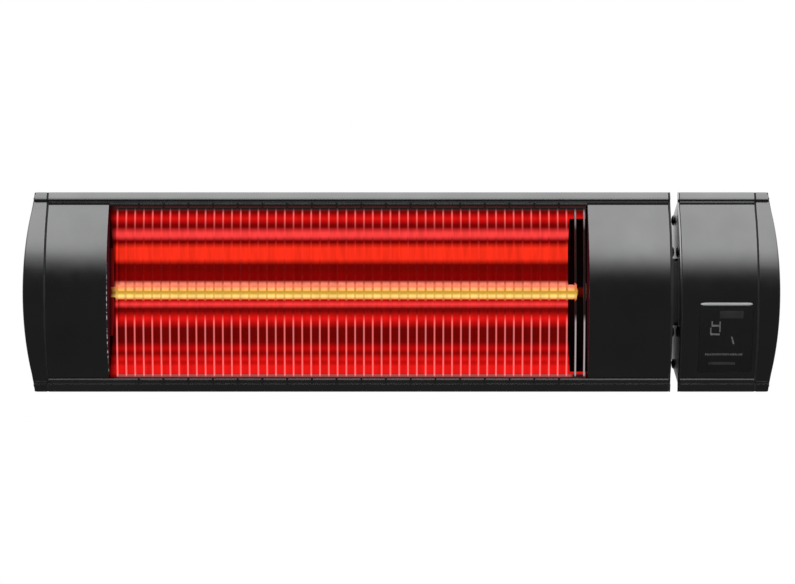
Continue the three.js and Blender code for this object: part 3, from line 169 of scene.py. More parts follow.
class Finish(Nodes):
    """A material about one Principled shader, read in the object's own coordinates."""

    def __init__(self, name, **inputs):
        self.material = bpy.data.materials.new(name + "_finish")
        self.material.use_nodes = True
        super().__init__(self.material.node_tree)
        self.shader = self.tree.nodes["Principled BSDF"]
        for key, value in inputs.items():
            self.shader.inputs[key.replace("_", " ").title().replace("Ior", "IOR")].default_value = value
        self.place = self.add("ShaderNodeTexCoord").outputs["Object"]

    def noise(self, scale, detail=3.0, stretch=(1, 1, 1)):
        mapping = self.add("ShaderNodeMapping")
        mapping.inputs["Scale"].default_value = stretch
        self.link(self.place, mapping.inputs["Vector"])
        node = self.add("ShaderNodeTexNoise")
        node.inputs["Scale"].default_value = scale
        node.inputs["Detail"].default_value = detail
        self.link(mapping.outputs["Vector"], node.inputs["Vector"])
        return node.outputs["Fac"]

    def axis(self, name):
        node = self.add("ShaderNodeSeparateXYZ")
        self.link(self.place, node.inputs["Vector"])
        return node.outputs[name]

    def by_height(self, levels):
        """A ramp over the height, from (height in mm, colour) pairs."""
        height = self.mapped(self.axis("Z"), -RAMP_HALF * MM, RAMP_HALF * MM)
        return self.ramp(height, [((z + RAMP_HALF) / (2 * RAMP_HALF), colour) for z, colour in levels])

    def colour(self, source):
        self.link(source, self.shader.inputs["Base Color"])

    def emit(self, source):
        self.link(source, self.shader.inputs["Emission Color"])
        self.shader.inputs["Emission Strength"].default_value = 1.0

    def glow(self, colour, level):
        """Sends a colour, scaled by a level, to the shader's emission."""
        scaled = self.add("ShaderNodeVectorMath", operation="SCALE")
        self.link(colour, scaled.inputs[0])
        self.link(level, scaled.inputs["Scale"])
        self.emit(scaled.outputs["Vector"])

    def varied(self, source, low, high):
        """A number that follows a noise."""
        return self.mapped(source, 0.3, 0.7, low, high)

    def roughness(self, source, low, high):
        self.link(self.varied(source, low, high), self.shader.inputs["Roughness"])

    def bump(self, source, distance=0.00003, strength=0.3, over=None):
        node = self.add("ShaderNodeBump")
        node.inputs["Strength"].default_value = strength
        node.inputs["Distance"].default_value = distance
        self.link(source, node.inputs["Height"])
        if over is not None:
            self.link(over, node.inputs["Normal"])
        self.link(node.outputs["Normal"], self.shader.inputs["Normal"])
        return node.outputs["Normal"]

    def edge_wear(self, colour, worn):
        """Lightens the colour along edges, where the coating has rubbed thin."""
        bevel = self.add("ShaderNodeBevel", samples=4)
        bevel.inputs["Radius"].default_value = WEAR_RADIUS
        geometry = self.add("ShaderNodeNewGeometry")
        dot = self.add("ShaderNodeVectorMath", operation="DOT_PRODUCT")
        self.link(bevel.outputs["Normal"], dot.inputs[0])
        self.link(geometry.outputs["Normal"], dot.inputs[1])
        edge = self.mapped(dot.outputs["Value"], 0.995, 0.85, 0.0, 0.5)
        patchy = self.product(edge, self.mapped(self.noise(420, 3), 0.35, 0.65))
        return self.blend(patchy, colour, worn)


def dark_metal(name, base, worn, grain, roughness, lines=None, metallic=1.0):
    finish = Finish(name, metallic=metallic)
    cloud = finish.noise(28, 4)
    colour = finish.tones(cloud, tuple(c * 0.93 for c in base), tuple(c * 1.07 for c in base))
    finish.colour(finish.edge_wear(colour, worn))
    fine = finish.noise(grain, 2)
    finish.roughness(finish.noise(90, 4), roughness - 0.03, roughness + 0.03)
    normal = finish.bump(fine, 0.00002, 0.25)
    if lines:
        finish.bump(finish.noise(lines, 2, (0.004, 1, 1)), 0.00002, 0.2, normal)
    return finish.material


HOUSING = dark_metal("housing_black", (0.19, 0.191, 0.193), (0.4, 0.4, 0.41), 2600, 0.26, lines=1500)
PANEL = dark_metal("panel_black", (0.168, 0.169, 0.17), (0.45, 0.45, 0.46), 3800, 0.19)
CAP = dark_metal("cap_black", (0.168, 0.169, 0.171), (0.4, 0.4, 0.41), 1500, 0.21)
BRACKET = dark_metal("bracket_black", (0.07, 0.071, 0.073), (0.3, 0.3, 0.31), 1100, 0.42, metallic=0.8)


def bright_metal(name, base, dull, roughness, grain, stretch=(1, 1, 1)):
    finish = Finish(name, metallic=1.0)
    cloud = finish.noise(60, 4)
    finish.colour(finish.tones(cloud, dull, base, end=0.65))
    fine = finish.noise(grain, 3, stretch)
    finish.roughness(fine, roughness - 0.05, roughness + 0.08)
    finish.bump(fine)
    return finish.material


ZINC = bright_metal("zinc_steel", (0.66, 0.67, 0.68), (0.5, 0.5, 0.52), 0.34, 700)
ALUMINIUM = bright_metal("bare_aluminium", (0.6, 0.61, 0.62), (0.46, 0.47, 0.48), 0.38, 900, (1, 1, 0.02))
BRASS = bright_metal("brass", (0.78, 0.56, 0.22), (0.55, 0.38, 0.15), 0.28, 800)


def plain_body(name, base, variant, roughness, scale, bump, strength=0.4, **inputs):
    finish = Finish(name, **inputs)
    cloud = finish.noise(scale * 0.08, 4)
    finish.colour(finish.tones(cloud, variant, base, 0.32, 0.68))
    fine = finish.noise(scale, 3)
    finish.roughness(fine, roughness - 0.06, roughness + 0.06)
    finish.bump(fine, bump, strength)
    return finish.material


RUBBER = plain_body("seal_rubber", grey(0.012), grey(0.02), 0.85, 900, 0.00005)
STEATITE = plain_body("steatite", (0.8, 0.77, 0.7), (0.7, 0.66, 0.58), 0.6, 500, 0.00005,
                      subsurface_weight=0.1)
PLASTIC = plain_body("black_plastic", (0.016, 0.016, 0.017), (0.022, 0.022, 0.023), 0.48, 1300, 0.00006)
TERMINAL = plain_body("terminal_plastic", (0.68, 0.66, 0.6), (0.6, 0.58, 0.52), 0.5, 800, 0.00003)
BOARD = plain_body("board_green", (0.02, 0.1, 0.045), (0.013, 0.07, 0.03), 0.4, 700, 0.00003)
MODULE = plain_body("display_red", (0.03, 0.012, 0.012), (0.022, 0.009, 0.009), 0.35, 700, 0.00002)
RELAY = plain_body("relay_blue", (0.02, 0.07, 0.19), (0.016, 0.055, 0.15), 0.4, 700, 0.00003)
ACRYLIC = plain_body("smoked_acrylic", (0.0095, 0.0094, 0.0092), (0.0075, 0.0074, 0.0073), 0.2, 500, 0.000004,
                     0.1, ior=1.49)
FAINT = plain_body("display_faint", (0.045, 0.045, 0.044), grey(0.016), 0.5, 2500, 0.00001, ior=1.49)
SILVER = plain_body("silver_bar", grey(0.4), grey(0.34), 0.35, 900, 0.00002)
# Painted shade: near-black, faintly red tones for inner surfaces that lie in shade.
PAINTED_SHADE_TONES = ((0.006, 0.004, 0.004), (0.01, 0.006, 0.006))
SHADE = plain_body("inner_shade", *PAINTED_SHADE_TONES, 0.9, 700, 0.00003, specular_ior_level=0.0)
MARK = plain_body("display_mark", (0.15, 0.15, 0.147), (0.06, 0.06, 0.059), 0.5, 5000, 0.00001, ior=1.49)
HAZE = plain_body("display_haze", (0.024, 0.024, 0.023), (0.013, 0.013, 0.013), 0.5, 1500, 0.00001, ior=1.49)
# A darker, browner steatite for the lamp bases than for the holders.
LAMP_BASE = plain_body("dark_brown_steatite", (0.2, 0.09, 0.045), (0.14, 0.06, 0.03), 0.7, 500, 0.00005)
PLATE = plain_body("black_plate", (0.014, 0.014, 0.015), (0.02, 0.02, 0.021), 0.6, 900, 0.00003)
BLACK_SCREW = bright_metal("black_screw", (0.09, 0.09, 0.091), (0.06, 0.06, 0.061), 0.5, 700)

# Painted reflection of the lamp: bands of light that the trough's bends throw, painted as glow by height, as
# (height in mm, colour) stops.
HOT = (0.92, 0.052, 0.05)
WARM = (0.9, 0.03, 0.011)
GLOW = (0.66, 0.007, 0.006)
MID = (0.44, 0.003, 0.003)
DIM = (0.15, 0.001, 0.001)
DARK = (0.08, 0.001, 0.001)
PINK = (0.93, 0.26, 0.17)
PURPLE = (0.045, 0.014, 0.013)
BANDS = [
    (-57.5, DIM), (-55, GLOW), (-50.4, GLOW), (-48, MID), (-45.8, GLOW), (-42, DIM), (-38.7, MID),
    (-34, DARK), (-25, DARK), (-18.2, GLOW), (-13.2, DARK), (-11.2, DARK), (-8.4, HOT), (-6, MID),
    (-4.5, DIM), (4.2, PINK), (5.8, PINK), (7.8, DIM), (12, DIM), (16, DARK), (18.9, DARK),
    (22.8, WARM), (30, WARM), (33.8, DIM), (35.2, DIM), (38.2, HOT), (40.3, HOT), (44.2, DIM),
    (46, DIM), (50.3, GLOW), (54.2, DIM), (57, PURPLE),
]
# Painted light on the guard: the same painted bands, with the lamp's own light painted across the middle and
# a painted pale highlight along the lower border.
UNLIT = (0.012, 0.01, 0.01)
PALE_HIGHLIGHT = (0.36, 0.08, 0.08)
WIRE_BANDS = [(z, (red + 0.06, 0.9 * green, 0.9 * blue)) for z, (red, green, blue) in BANDS
              if 5.9 < abs(z) < 57 and z not in (-48, -45.8, 12)]
WIRE_BANDS += [(-4.9, (0.5, 0.16, 0.04)), (-3, (0.85, 0.56, 0.16)), (0, (0.56, 0.31, 0.03)),
               (4.8, (0.84, 0.17, 0.1)), (-58, UNLIT), (-57.4, PALE_HIGHLIGHT), (-56.2, PALE_HIGHLIGHT), (56, UNLIT)]
# How strongly the painted highlight, a pale line along the front of each upright wire, shows.
HIGHLIGHT_LEVEL = [(-57.6, 0), (-56.4, 1), (-20.5, 1), (-17.8, 0.4), (-15, 0), (42, 0), (46, 0.42),
              (53.5, 0.78), (56.8, 0)]


def reflector_finish():
    finish = Finish("reflector_gold", metallic=1.0, roughness=0.3)
    # The trough is painted with the lamp's reflection: a dark red base, and bands that glow by height, weaker
    # at the left end.
    streak = finish.noise(900, 2, (1, 0.01, 0.01))
    finish.colour(finish.tones(streak, (0.09, 0.002, 0.0015), (0.13, 0.003, 0.002)))
    rise = finish.mapped(finish.axis("X"), -0.2012, -0.1942)
    ripple = finish.varied(finish.noise(230, 2, (1, 0.12, 0.12)), 0.84, 1.12)
    finish.glow(finish.by_height(BANDS), finish.product(rise, rise, ripple))
    finish.bump(streak, 0.00002, 0.2)
    return finish.material


LAMP_RADIUS = 5
TIP_BULGE = 80           # how far the lit length draws in with the square of the height


def lamp_finish():
    finish = Finish("ruby_quartz", roughness=0.12)
    finish.colour(finish.tones(finish.noise(60), (0.1, 0.006, 0.003), (0.15, 0.01, 0.004)))
    z = finish.axis("Z")
    bands = finish.ramp(finish.mapped(z, -LAMP_RADIUS * MM, LAMP_RADIUS * MM), [
        (0.0, (0.6, 0.14, 0.03)), (0.1, (0.92, 0.5, 0.14)), (0.2, (1.0, 0.8, 0.25)),
        (0.28, (0.97, 0.74, 0.18)), (0.4, (0.64, 0.37, 0.03)), (0.48, (0.62, 0.34, 0.022)),
        (0.6, (0.95, 0.53, 0.11)), (0.72, (0.94, 0.42, 0.13)), (0.86, (0.88, 0.26, 0.11)),
        (1.0, (0.92, 0.27, 0.18)),
    ])
    domed = finish.math("MULTIPLY_ADD", finish.product(z, z), TIP_BULGE, finish.axis("X"))
    left = finish.mapped(domed, -0.1985, -0.1925)
    right = finish.mapped(domed, 0.1203, 0.1193)
    turns = finish.varied(finish.noise(260, 1, (1, 0.05, 0.05)), 0.84, 1.06)
    finish.glow(bands, finish.product(left, right, turns))
    return finish.material


def wire_finish():
    """Nickel wire with the lamp's red light painted on: a red-tinted base, painted shade under the lips,
    glowing bands by height, and a painted highlight as a pale line along each upright wire.
    """
    finish = Finish("guard_wire", metallic=1.0)
    cloud = finish.noise(300, 3)
    z, along = finish.axis("Z"), finish.axis("X")
    # Painted shade: the wire turns dark near the top and bottom borders, under the lips.
    shade_under_lip = finish.mapped(finish.math("ABSOLUTE", z), 54 * MM, 56 * MM)
    finish.colour(finish.blend(shade_under_lip, finish.tones(cloud, (0.06, 0.02, 0.02), (0.09, 0.03, 0.03)), UNLIT))
    finish.roughness(cloud, 0.22, 0.34)
    domed = finish.math("MULTIPLY_ADD", finish.product(z, z), TIP_BULGE, along)
    beside_tip = finish.mapped(domed, 0.1206, 0.12)
    lit = finish.math("MAXIMUM", finish.mapped(along, 0.1165, 0.1145), beside_tip)
    bands = finish.blend(lit, UNLIT, finish.by_height(WIRE_BANDS))
    highlight_tint = finish.blend(lit, (0.4, 0.36, 0.37), (0.62, 0.165, 0.16))
    # Painted highlight: a pale line down the front of each upright wire.
    steps = finish.math("MULTIPLY_ADD", along, 1 / (GUARD_PITCH * MM), 0.5 - GUARD_LEFT / GUARD_PITCH)
    aside = finish.math("ABSOLUTE", finish.math("SUBTRACT", finish.math("FRACT", steps), 0.5))
    middle = finish.mapped(aside, 0.045, 0.12, 1.0, 0.0, smooth=True)
    level = finish.by_height([(at, grey(v)) for at, v in HIGHLIGHT_LEVEL])
    line = finish.blend(middle, grey(0), finish.blend(1.0, level, highlight_tint, "MULTIPLY"))
    finish.emit(finish.blend(1.0, bands, line, "ADD"))
    finish.bump(cloud)
    return finish.material


def painted_glow_finish(name, colour, start, end):
    """Painted shade and painted light: a dark sheet with the lamp's red light painted on as a glow that grows
    with depth, between two distances behind the lips in mm.
    """
    finish = Finish(name, roughness=0.9, specular_ior_level=0.0)
    cloud = finish.noise(700, 3)
    finish.colour(finish.tones(cloud, *PAINTED_SHADE_TONES))
    depth = finish.mapped(finish.axis("Y"), (start - LIP_TO_WALL) * MM, (end - LIP_TO_WALL) * MM)
    finish.glow(finish.tones(cloud, tuple(0.85 * c for c in colour), colour), finish.product(depth, depth))
    finish.bump(cloud)
    return finish.material


def pod_plate_finish():
    """The pod's end plate, painted lighter and smoother at the top, where the gap is open to the light, and
    painted darker and duller lower down, in shade.
    """
    finish = Finish("pod_plate", metallic=1.0)
    height = finish.mapped(finish.axis("Z"), -23 * MM, 18 * MM)
    cloud = finish.varied(finish.noise(90, 4), 0.9, 1.1)
    tone = finish.tones(height, (0.08, 0.08, 0.081), (0.26, 0.26, 0.262), 0.0, 1.0)
    finish.colour(finish.blend(1.0, tone, cloud, "MULTIPLY"))
    finish.link(finish.mapped(height, 0, 1, 0.4, 0.24), finish.shader.inputs["Roughness"])
    finish.bump(finish.noise(2600, 2), 0.00002, 0.25)
    return finish.material


def painted_edge_highlight_finish():
    """The panel's edge beside the window, with light specks painted on as a rim highlight, more of them lower
    down.
    """
    finish = Finish("painted_edge_highlight", roughness=0.5)
    highlight_specks = finish.mapped(finish.noise(520, 2, (0.2, 0.2, 1)), 0.5, 0.62)
    lower = finish.mapped(finish.axis("Z"), 22 * MM, -12 * MM)
    finish.colour(finish.blend(finish.product(highlight_specks, lower), (0.03, 0.02, 0.022), (0.5, 0.49, 0.48)))
    finish.bump(highlight_specks, 0.00005, 0.5)
    return finish.material


def filament_finish():
    finish = Finish("tungsten", metallic=0.6)
    turns = finish.noise(700, 1, (1, 0.1, 0.1))
    finish.colour(finish.tones(turns, (0.4, 0.3, 0.2), (0.6, 0.45, 0.3)))
    finish.emit(finish.tones(turns, (0.9, 0.42, 0.08), (1.0, 0.75, 0.3)))
    finish.roughness(turns, 0.4, 0.6)
    return finish.material


REFLECTOR_PAINTED_GLOW = reflector_finish()
RUBY = lamp_finish()
WIRE = wire_finish()
BRACKET_PAINTED_GLOW = painted_glow_finish("bracket_painted_glow", (0.19, 0.004, 0.004), -2, 46)
WALL_PAINTED_GLOW = painted_glow_finish("wall_painted_glow", (0.04, 0.003, 0.008), -80, -10)
POD_PLATE_PAINTED_SHADE = pod_plate_finish()
PAINTED_EDGE_HIGHLIGHT = painted_edge_highlight_finish()
TUNGSTEN = filament_finish()


# ---- mesh helpers

def to_world(x, y, z):
    return Vector((x, y - LIP_TO_WALL, z)) * MM


def face_box(node):
    """A node's lowest and highest x, then z, in mm."""
    low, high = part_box(node)
    return low.x / MM, high.x / MM, low.z / MM, high.z / MM


def span(node):
    return face_box(node)[:2]


def rounded(points, steps=4):
    """Rounds the corners of a closed outline; a point is (a, b) or (a, b, radius)."""
    outline = []
    for i, point in enumerate(points):
        if len(point) == 2:
            outline.append(tuple(point))
            continue
        here = Vector(point[:2])
        before = Vector(points[i - 1][:2]) - here
        after = Vector(points[(i + 1) % len(points)][:2]) - here
        half = before.angle(after) / 2
        cut = min(point[2] / math.tan(half), before.length * 0.49, after.length * 0.49)
        radius = cut * math.tan(half)
        centre = here + (before.normalized() + after.normalized()).normalized() * (radius / math.sin(half))
        start = here + before.normalized() * cut - centre
        sweep = start.angle_signed(here + after.normalized() * cut - centre)
        for k in range(steps + 1):
            turn = -sweep * k / steps
            spun = Vector((start.x * math.cos(turn) - start.y * math.sin(turn),
                           start.x * math.sin(turn) + start.y * math.cos(turn)))
            outline.append(tuple(centre + spun))
    return outline


def rounded_box(x0, x1, z0, z1, radius, steps):
    return rounded([(x0, z0, radius), (x1, z0, radius), (x1, z1, radius), (x0, z1, radius)], steps)


def ring(radius, sides, centre=(0, 0), start=0.0):
    turns = [start + 2 * math.pi * i / sides for i in range(sides)]
    return [(centre[0] + radius * math.cos(t), centre[1] + radius * math.sin(t)) for t in turns]


def to_x(a, b, c):
    """(y, z) outline, run along X."""
    return to_world(c, a, b)


def to_y(a, b, c):
    """(x, z) outline, run along Y."""
    return to_world(a, c, b)


def bridge(bm, rows, ends=True):
    """Joins loops of vertices in turn and closes both ends; a loop of one vertex is a point."""
    for near, far in zip(rows, rows[1:]):
        sides = max(len(near), len(far))
        for i in range(sides):
            j = (i + 1) % sides
            corners = near[i % len(near)], near[j % len(near)], far[j % len(far)], far[i % len(far)]
            face = tuple(dict.fromkeys(corners))
            if len(face) > 2:
                bm.faces.new(face)
    for row in (rows[0], rows[-1]) if ends else ():
        if len(row) > 1:
            bm.faces.new(row)


def outward(bm):
    bmesh.ops.recalc_face_normals(bm, faces=bm.faces)
    return bm


def prism(outline, start, end, axis=to_x, holes=()):
    """A straight solid with an outline, and holes through it."""
    bm = bmesh.new()
    loops = [outline, *holes]
    ends = []
    for at in sorted((start, end)):
        ends.append([[bm.verts.new(axis(a, b, at)) for a, b in loop] for loop in loops])
    for rows in zip(*ends):
        bridge(bm, rows, ends=not holes)
    if holes:
        triangles = tessellate_polygon([[Vector((a, b, 0)) for a, b in loop] for loop in loops])
        for end_loops in ends:
            verts = [v for loop in end_loops for v in loop]
            for triangle in triangles:
                bm.faces.new([verts[k] for k in triangle])
    return outward(bm)


def turned(profile, axis, centre, sides, carved=None, hollow=False):
    """Turns (radius, distance) rows about an axis; a third number scales the cut that carved(i) gives."""
    bm = bmesh.new()
    rows = []
    for radius, distance, *share in profile:
        if not radius:
            rows.append([bm.verts.new(axis(*centre, distance))])
            continue
        row = []
        for i in range(sides):
            turn = 2 * math.pi * i / sides
            reach = radius - (share[0] * carved(i) if carved else 0)
            spot = (centre[0] + reach * math.cos(turn), centre[1] + reach * math.sin(turn))
            row.append(bm.verts.new(axis(*spot, distance)))
        rows.append(row)
    bridge(bm, rows + rows[:1] if hollow else rows, ends=not hollow)
    return outward(bm)


def tube(bm, path, radius, sides=10):
    """Adds a round wire along a list of points in world metres."""
    rows = []
    normal = None
    for i, point in enumerate(path):
        tangent = (path[min(i + 1, len(path) - 1)] - path[max(i - 1, 0)]).normalized()
        if normal is None:
            normal = tangent.orthogonal().normalized()
        normal = (normal - tangent * normal.dot(tangent)).normalized()
        side = tangent.cross(normal)
        rows.append([
            bm.verts.new(point + (normal * math.cos(t) + side * math.sin(t)) * radius * MM)
            for t in (2 * math.pi * k / sides for k in range(sides))
        ])
    bridge(bm, rows, ends=False)
    bm.faces.new(rows[0][::-1])
    bm.faces.new(rows[-1])


def bent(points, radius):
    """A wire's path: straight runs with round bends."""
    path = [points[0]]
    for before, here, after in zip(points, points[1:], points[2:]):
        back = before - here
        on = after - here
        half = back.angle(on) / 2
        cut = min(radius * MM / math.tan(half), back.length * 0.48, on.length * 0.48)
        first = here + back.normalized() * cut
        last = here + on.normalized() * cut
        for t in (k / 5 for k in range(6)):
            path.append(first.lerp(here, t).lerp(here.lerp(last, t), t))
    path.append(points[-1])
    return path


def left_of(run):
    """The unit vector to the left of a run."""
    return Vector((-run.y, run.x)).normalized()


def miter(before, after, distance, least):
    """How a corner moves when the runs before and after it move to the left."""
    normal = left_of(before) + left_of(after)
    normal.normalize()
    reach = distance / max(least, normal.dot(left_of(before)))
    return normal.x * reach, normal.y * reach


def inward(outline, distance):
    """Moves a closed outline inwards; it runs clockwise."""
    moved = []
    for i, point in enumerate(outline):
        before = Vector(point) - Vector(outline[i - 1])
        after = Vector(outline[(i + 1) % len(outline)]) - Vector(point)
        x, y = miter(before, after, distance, 0.6)
        moved.append((point[0] - x, point[1] - y))
    return moved


def merge(first, *others):
    """Joins bmeshes into the first one."""
    for other in others:
        mesh = bpy.data.meshes.new("part")
        other.to_mesh(mesh)
        first.from_mesh(mesh)
        bpy.data.meshes.remove(mesh)
        other.free()
    return first


def smooth(mesh, sharp=35):
    mesh.shade_smooth()
    mesh.set_sharp_from_angle(angle=math.radians(sharp))
    return mesh


def solid_mesh(bm, name, sharp=35):
    mesh = bpy.data.meshes.new(name)
    bm.to_mesh(mesh)
    bm.free()
    return smooth(mesh, sharp)


def round_edges(thing, width, segments=2, angle=42, harden=True):
    bevel = thing.modifiers.new("edge", "BEVEL")
    bevel.width = width * MM
    bevel.segments = segments
    bevel.limit_method = "ANGLE"
    bevel.angle_limit = math.radians(angle)
    bevel.harden_normals = harden


def piece(name, bm, finish, *replaced, edge=0.0, sharp=35, slot=None, segments=2):
    """Puts a new piece in the place of CAD nodes, riding on their body, or adds it to the heater."""
    mesh = bm if isinstance(bm, bpy.types.Mesh) else solid_mesh(bm, name, sharp)
    mesh.materials.append(finish)
    thing = placed(name, mesh)
    if edge:
        round_edges(thing, edge, segments)
    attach(thing, nodes[replaced[0]]["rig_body"] if replaced else "heater")
    if replaced:
        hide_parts(*replaced)


def form(node, bm, finish, **options):
    """Puts a detailed piece in the place of one node."""
    piece(node + "_form", bm, finish, node, **options)


def cut_mesh(target, cutters, name):
    """Cuts bmeshes out of a bmesh and gives the result as a mesh."""
    whole = placed("target", solid_mesh(target, "target"))
    knives = [placed("cutter", solid_mesh(cutter, "cutter")) for cutter in cutters]
    for knife in knives:
        modifier = whole.modifiers.new("cut", "BOOLEAN")
        modifier.operation = "DIFFERENCE"
        modifier.solver = "EXACT"
        modifier.object = knife
    depsgraph = bpy.context.evaluated_depsgraph_get()
    mesh = bpy.data.meshes.new_from_object(whole.evaluated_get(depsgraph))
    mesh.name = name
    for thing in [whole, *knives]:
        bpy.data.objects.remove(thing)
    return smooth(mesh)


# ---- sections

HALF_HEIGHT = 68.0
BEAD_LOW = 62.6
RIB_TOP = 59.9
RIB_LOW = 58.7
PANEL_HALF = 58.4
LIP_REAR = 3.2
SHELL_TOP = 61.2
WALL = 2.2
SKIN = 1.8               # thickness of the front panels and of the pod's window
FRONT_RISE = 25.0
FRONT_RADIUS = (PANEL_HALF ** 2 + FRONT_RISE ** 2) / (2 * FRONT_RISE)
FRONT_CENTRE = FRONT_RADIUS - FRONT_RISE
TAIL = PANEL_HALF - 2.2
BACK_Y = 62.0


def front_y(inset, z):
    return FRONT_CENTRE - math.sqrt((FRONT_RADIUS - inset) ** 2 - z ** 2)


def front_arc(inset, start, end, steps):
    radius = FRONT_RADIUS - inset
    first, last = math.asin(start / radius), math.asin(end / radius)
    heights = [radius * math.sin(first + (last - first) * i / steps) for i in range(steps + 1)]
    return [(front_y(inset, z), z) for z in heights]


def shell_chain(inset=0.0):
    """The shell from behind the lip to the flat back; the wall's inside where inset is the wall."""
    a, b, c, d = map(Vector, ((44, 52), (54.8, 49.15), (BACK_Y, 44.4), (BACK_Y, 33)))
    points = [Vector((LIP_REAR, SHELL_TOP))]
    for t in (i / 18 for i in range(19)):
        points.append(a * (1 - t) ** 3 + b * 3 * t * (1 - t) ** 2 + c * 3 * t * t * (1 - t) + d * t ** 3)
    points.append(Vector((BACK_Y, 0)))
    chain = []
    for i, point in enumerate(points):
        before = point - points[i - 1] if i else points[1] - points[0]
        after = points[i + 1] - point if i + 1 < len(points) else before
        moved = point - (left_of(before) + left_of(after)).normalized() * inset
        chain.append((moved.x, moved.y))
    chain[-1] = (BACK_Y - inset, 0)
    return chain


def mirrored(points):
    return [(y, -z) for y, z in reversed(points)]


def closed(half):
    return half + mirrored(half)[1:-1]


def bead(foot_round):
    """The lip's bead: its underside, then a convex face that leans back to the rear."""
    foot = Vector((-1.1, BEAD_LOW))
    run = Vector((LIP_REAR, HALF_HEIGHT)) - foot
    face = [foot + run * t + left_of(run) * 3.3 * t * (1 - t) for t in (i / 14 for i in range(15))]
    return [(0.8, BEAD_LOW, 0.1), (*foot, foot_round), *map(tuple, face[1:-1]), (*face[-1], 0.25)]


def rounded_chain(points, steps=5):
    """Rounds an open chain's inner corners."""
    return rounded([points[0][:2], *points[1:-1], points[-1][:2]], steps)


def housing_outline(lean):
    """An open-fronted shell. The upper groove wall leans, and the lower lip has a bright rib."""
    upper = rounded_chain([(2.2, RIB_LOW), (2.2, 60.4, 0.2), (0.8 - 2.1 * lean, 60.5, 0.15), *bead(0.2),
                           (LIP_REAR, SHELL_TOP)])
    lower = rounded_chain([(2.2, RIB_LOW + 0.2), (-0.85, RIB_LOW + 0.2, 0.2), (-1.1, 60.1, 0.1),
                           (0.8, 60.3, 0.1), *bead(0.03), (LIP_REAR, SHELL_TOP)])
    inner = [(LIP_REAR + WALL, RIB_LOW)] + shell_chain(WALL)[1:-1]
    shell = shell_chain()[1:-1]
    return upper + shell + mirrored(lower + shell) + mirrored(inner)[::-1] + inner[::-1]


def end_half(foot_round):
    lip = rounded_chain([(front_y(0, TAIL), TAIL), (0.2, 61.2, 1.6), (0.8, 61.2, 0.1), *bead(foot_round),
                         (LIP_REAR, SHELL_TOP)])
    return front_arc(0, 0, TAIL - 0.4, 28) + lip[1:] + shell_chain()[1:]


def end_outline():
    return end_half(0.2) + mirrored(end_half(0.03))[1:-1]


def core_outline(inset):
    return closed(front_arc(inset, 0, PANEL_HALF - inset, 20) + shell_chain(inset))


def neck_outline(grow):
    top = 20.7 + grow
    inset = 5 - grow
    rear = 28 + grow
    corners = [(front_y(inset, top - 2), top - 2), (front_y(inset, top), top, 1.8), (rear, top, 3.5),
               (rear, 0)]
    return closed(front_arc(inset, 0, top - 2.4, 10) + rounded_chain(corners, 6)[1:-1] + [(rear, 0)])


# ---- housings and panels

for name, lean in (("main_housing", 0.21), ("pod_housing", 0.3)):
    form(name, prism(housing_outline(lean), *span(name)), HOUSING)

PANEL_TOP = 59.3
PANEL_REAR = math.sqrt((FRONT_RADIUS - SKIN) ** 2 - FRONT_CENTRE ** 2)


def tail_y(z):
    """The straight run from the end of the front's arc to the lip, as on the caps."""
    start = front_y(0, TAIL)
    return start + (z - TAIL) * (0.2 - start) / (SHELL_TOP - TAIL)


def panel_skin():
    low, high = tail_y(PANEL_HALF), tail_y(PANEL_TOP)
    outside = [(low, -PANEL_HALF), *front_arc(0, -TAIL, TAIL, 56), (high, PANEL_TOP)]
    inside = [(high + 1.9, PANEL_TOP - 0.3), *front_arc(SKIN, TAIL - 0.8, 0.8 - TAIL, 56),
              (low + 1.9, 0.3 - PANEL_HALF)]
    return outside + inside


def window_wall(x):
    """The wall that closes a front panel beside the window."""
    outline = front_arc(1.0, -PANEL_REAR, PANEL_REAR, 40) + [(4.7, PANEL_REAR), (4.7, -PANEL_REAR)]
    return prism(outline, x, x + SKIN)


window_left = span("left_front_panel")[1]
window_right = span("right_front_panel")[0]
for name, wall_at in (("left_front_panel", window_left - SKIN), ("right_front_panel", window_right)):
    form(name, prism(panel_skin(), *span(name)), PANEL, edge=0.3, segments=3)
    piece(name + "_wall", window_wall(wall_at), WALL_PAINTED_GLOW, slot="panel_black", edge=0.2)

edge_strip = front_arc(0.15, -TAIL, 20, 40) + front_arc(0.9, 20, -TAIL, 40)
piece("left_panel_edge", prism(edge_strip, window_left - 0.1, window_left + 0.4), PAINTED_EDGE_HIGHLIGHT,
      slot="panel_black")

upper_rib = rounded([(0.3, 60.5), (0.05, 59.1, 0.2), (2.2, 59.1), (2.2, 60.5)])
piece("window_rib", prism(upper_rib, window_left + 0.3, window_right - 0.3), HOUSING)


def pod_panel():
    """The pod's curved panel, with rounded openings for the display and the light bar."""
    centre = sum(span("display_window")) / 2
    openings = []
    for node, width, margin in (("display_window", 36.3, 0.12), ("light_bar", 35.6, 0.3)):
        z0, z1 = face_box(node)[2:]
        outline = rounded_box(centre - width / 2, centre + width / 2, z0 - margin, z1 + margin, 1.2, 5)
        openings.append(prism(outline, -30, 20, to_y))
    return cut_mesh(prism(panel_skin(), *span("pod_front_panel")), openings, "pod_front_panel_form")


form("pod_front_panel", pod_panel(), PANEL, edge=0.12)


# ---- end plates, neck and screws

PORT_Y = 32.0
SHELL_PORT = (PORT_Y, SHELL_TOP - 9.2 * (PORT_Y - LIP_REAR) / 40.8 - 5.4)
FRONT_PORT = (-9.0, 27.0)
PORTS = [(y, side * z) for y, z in (SHELL_PORT, FRONT_PORT) for side in (1, -1)]
SEAL = 0.29

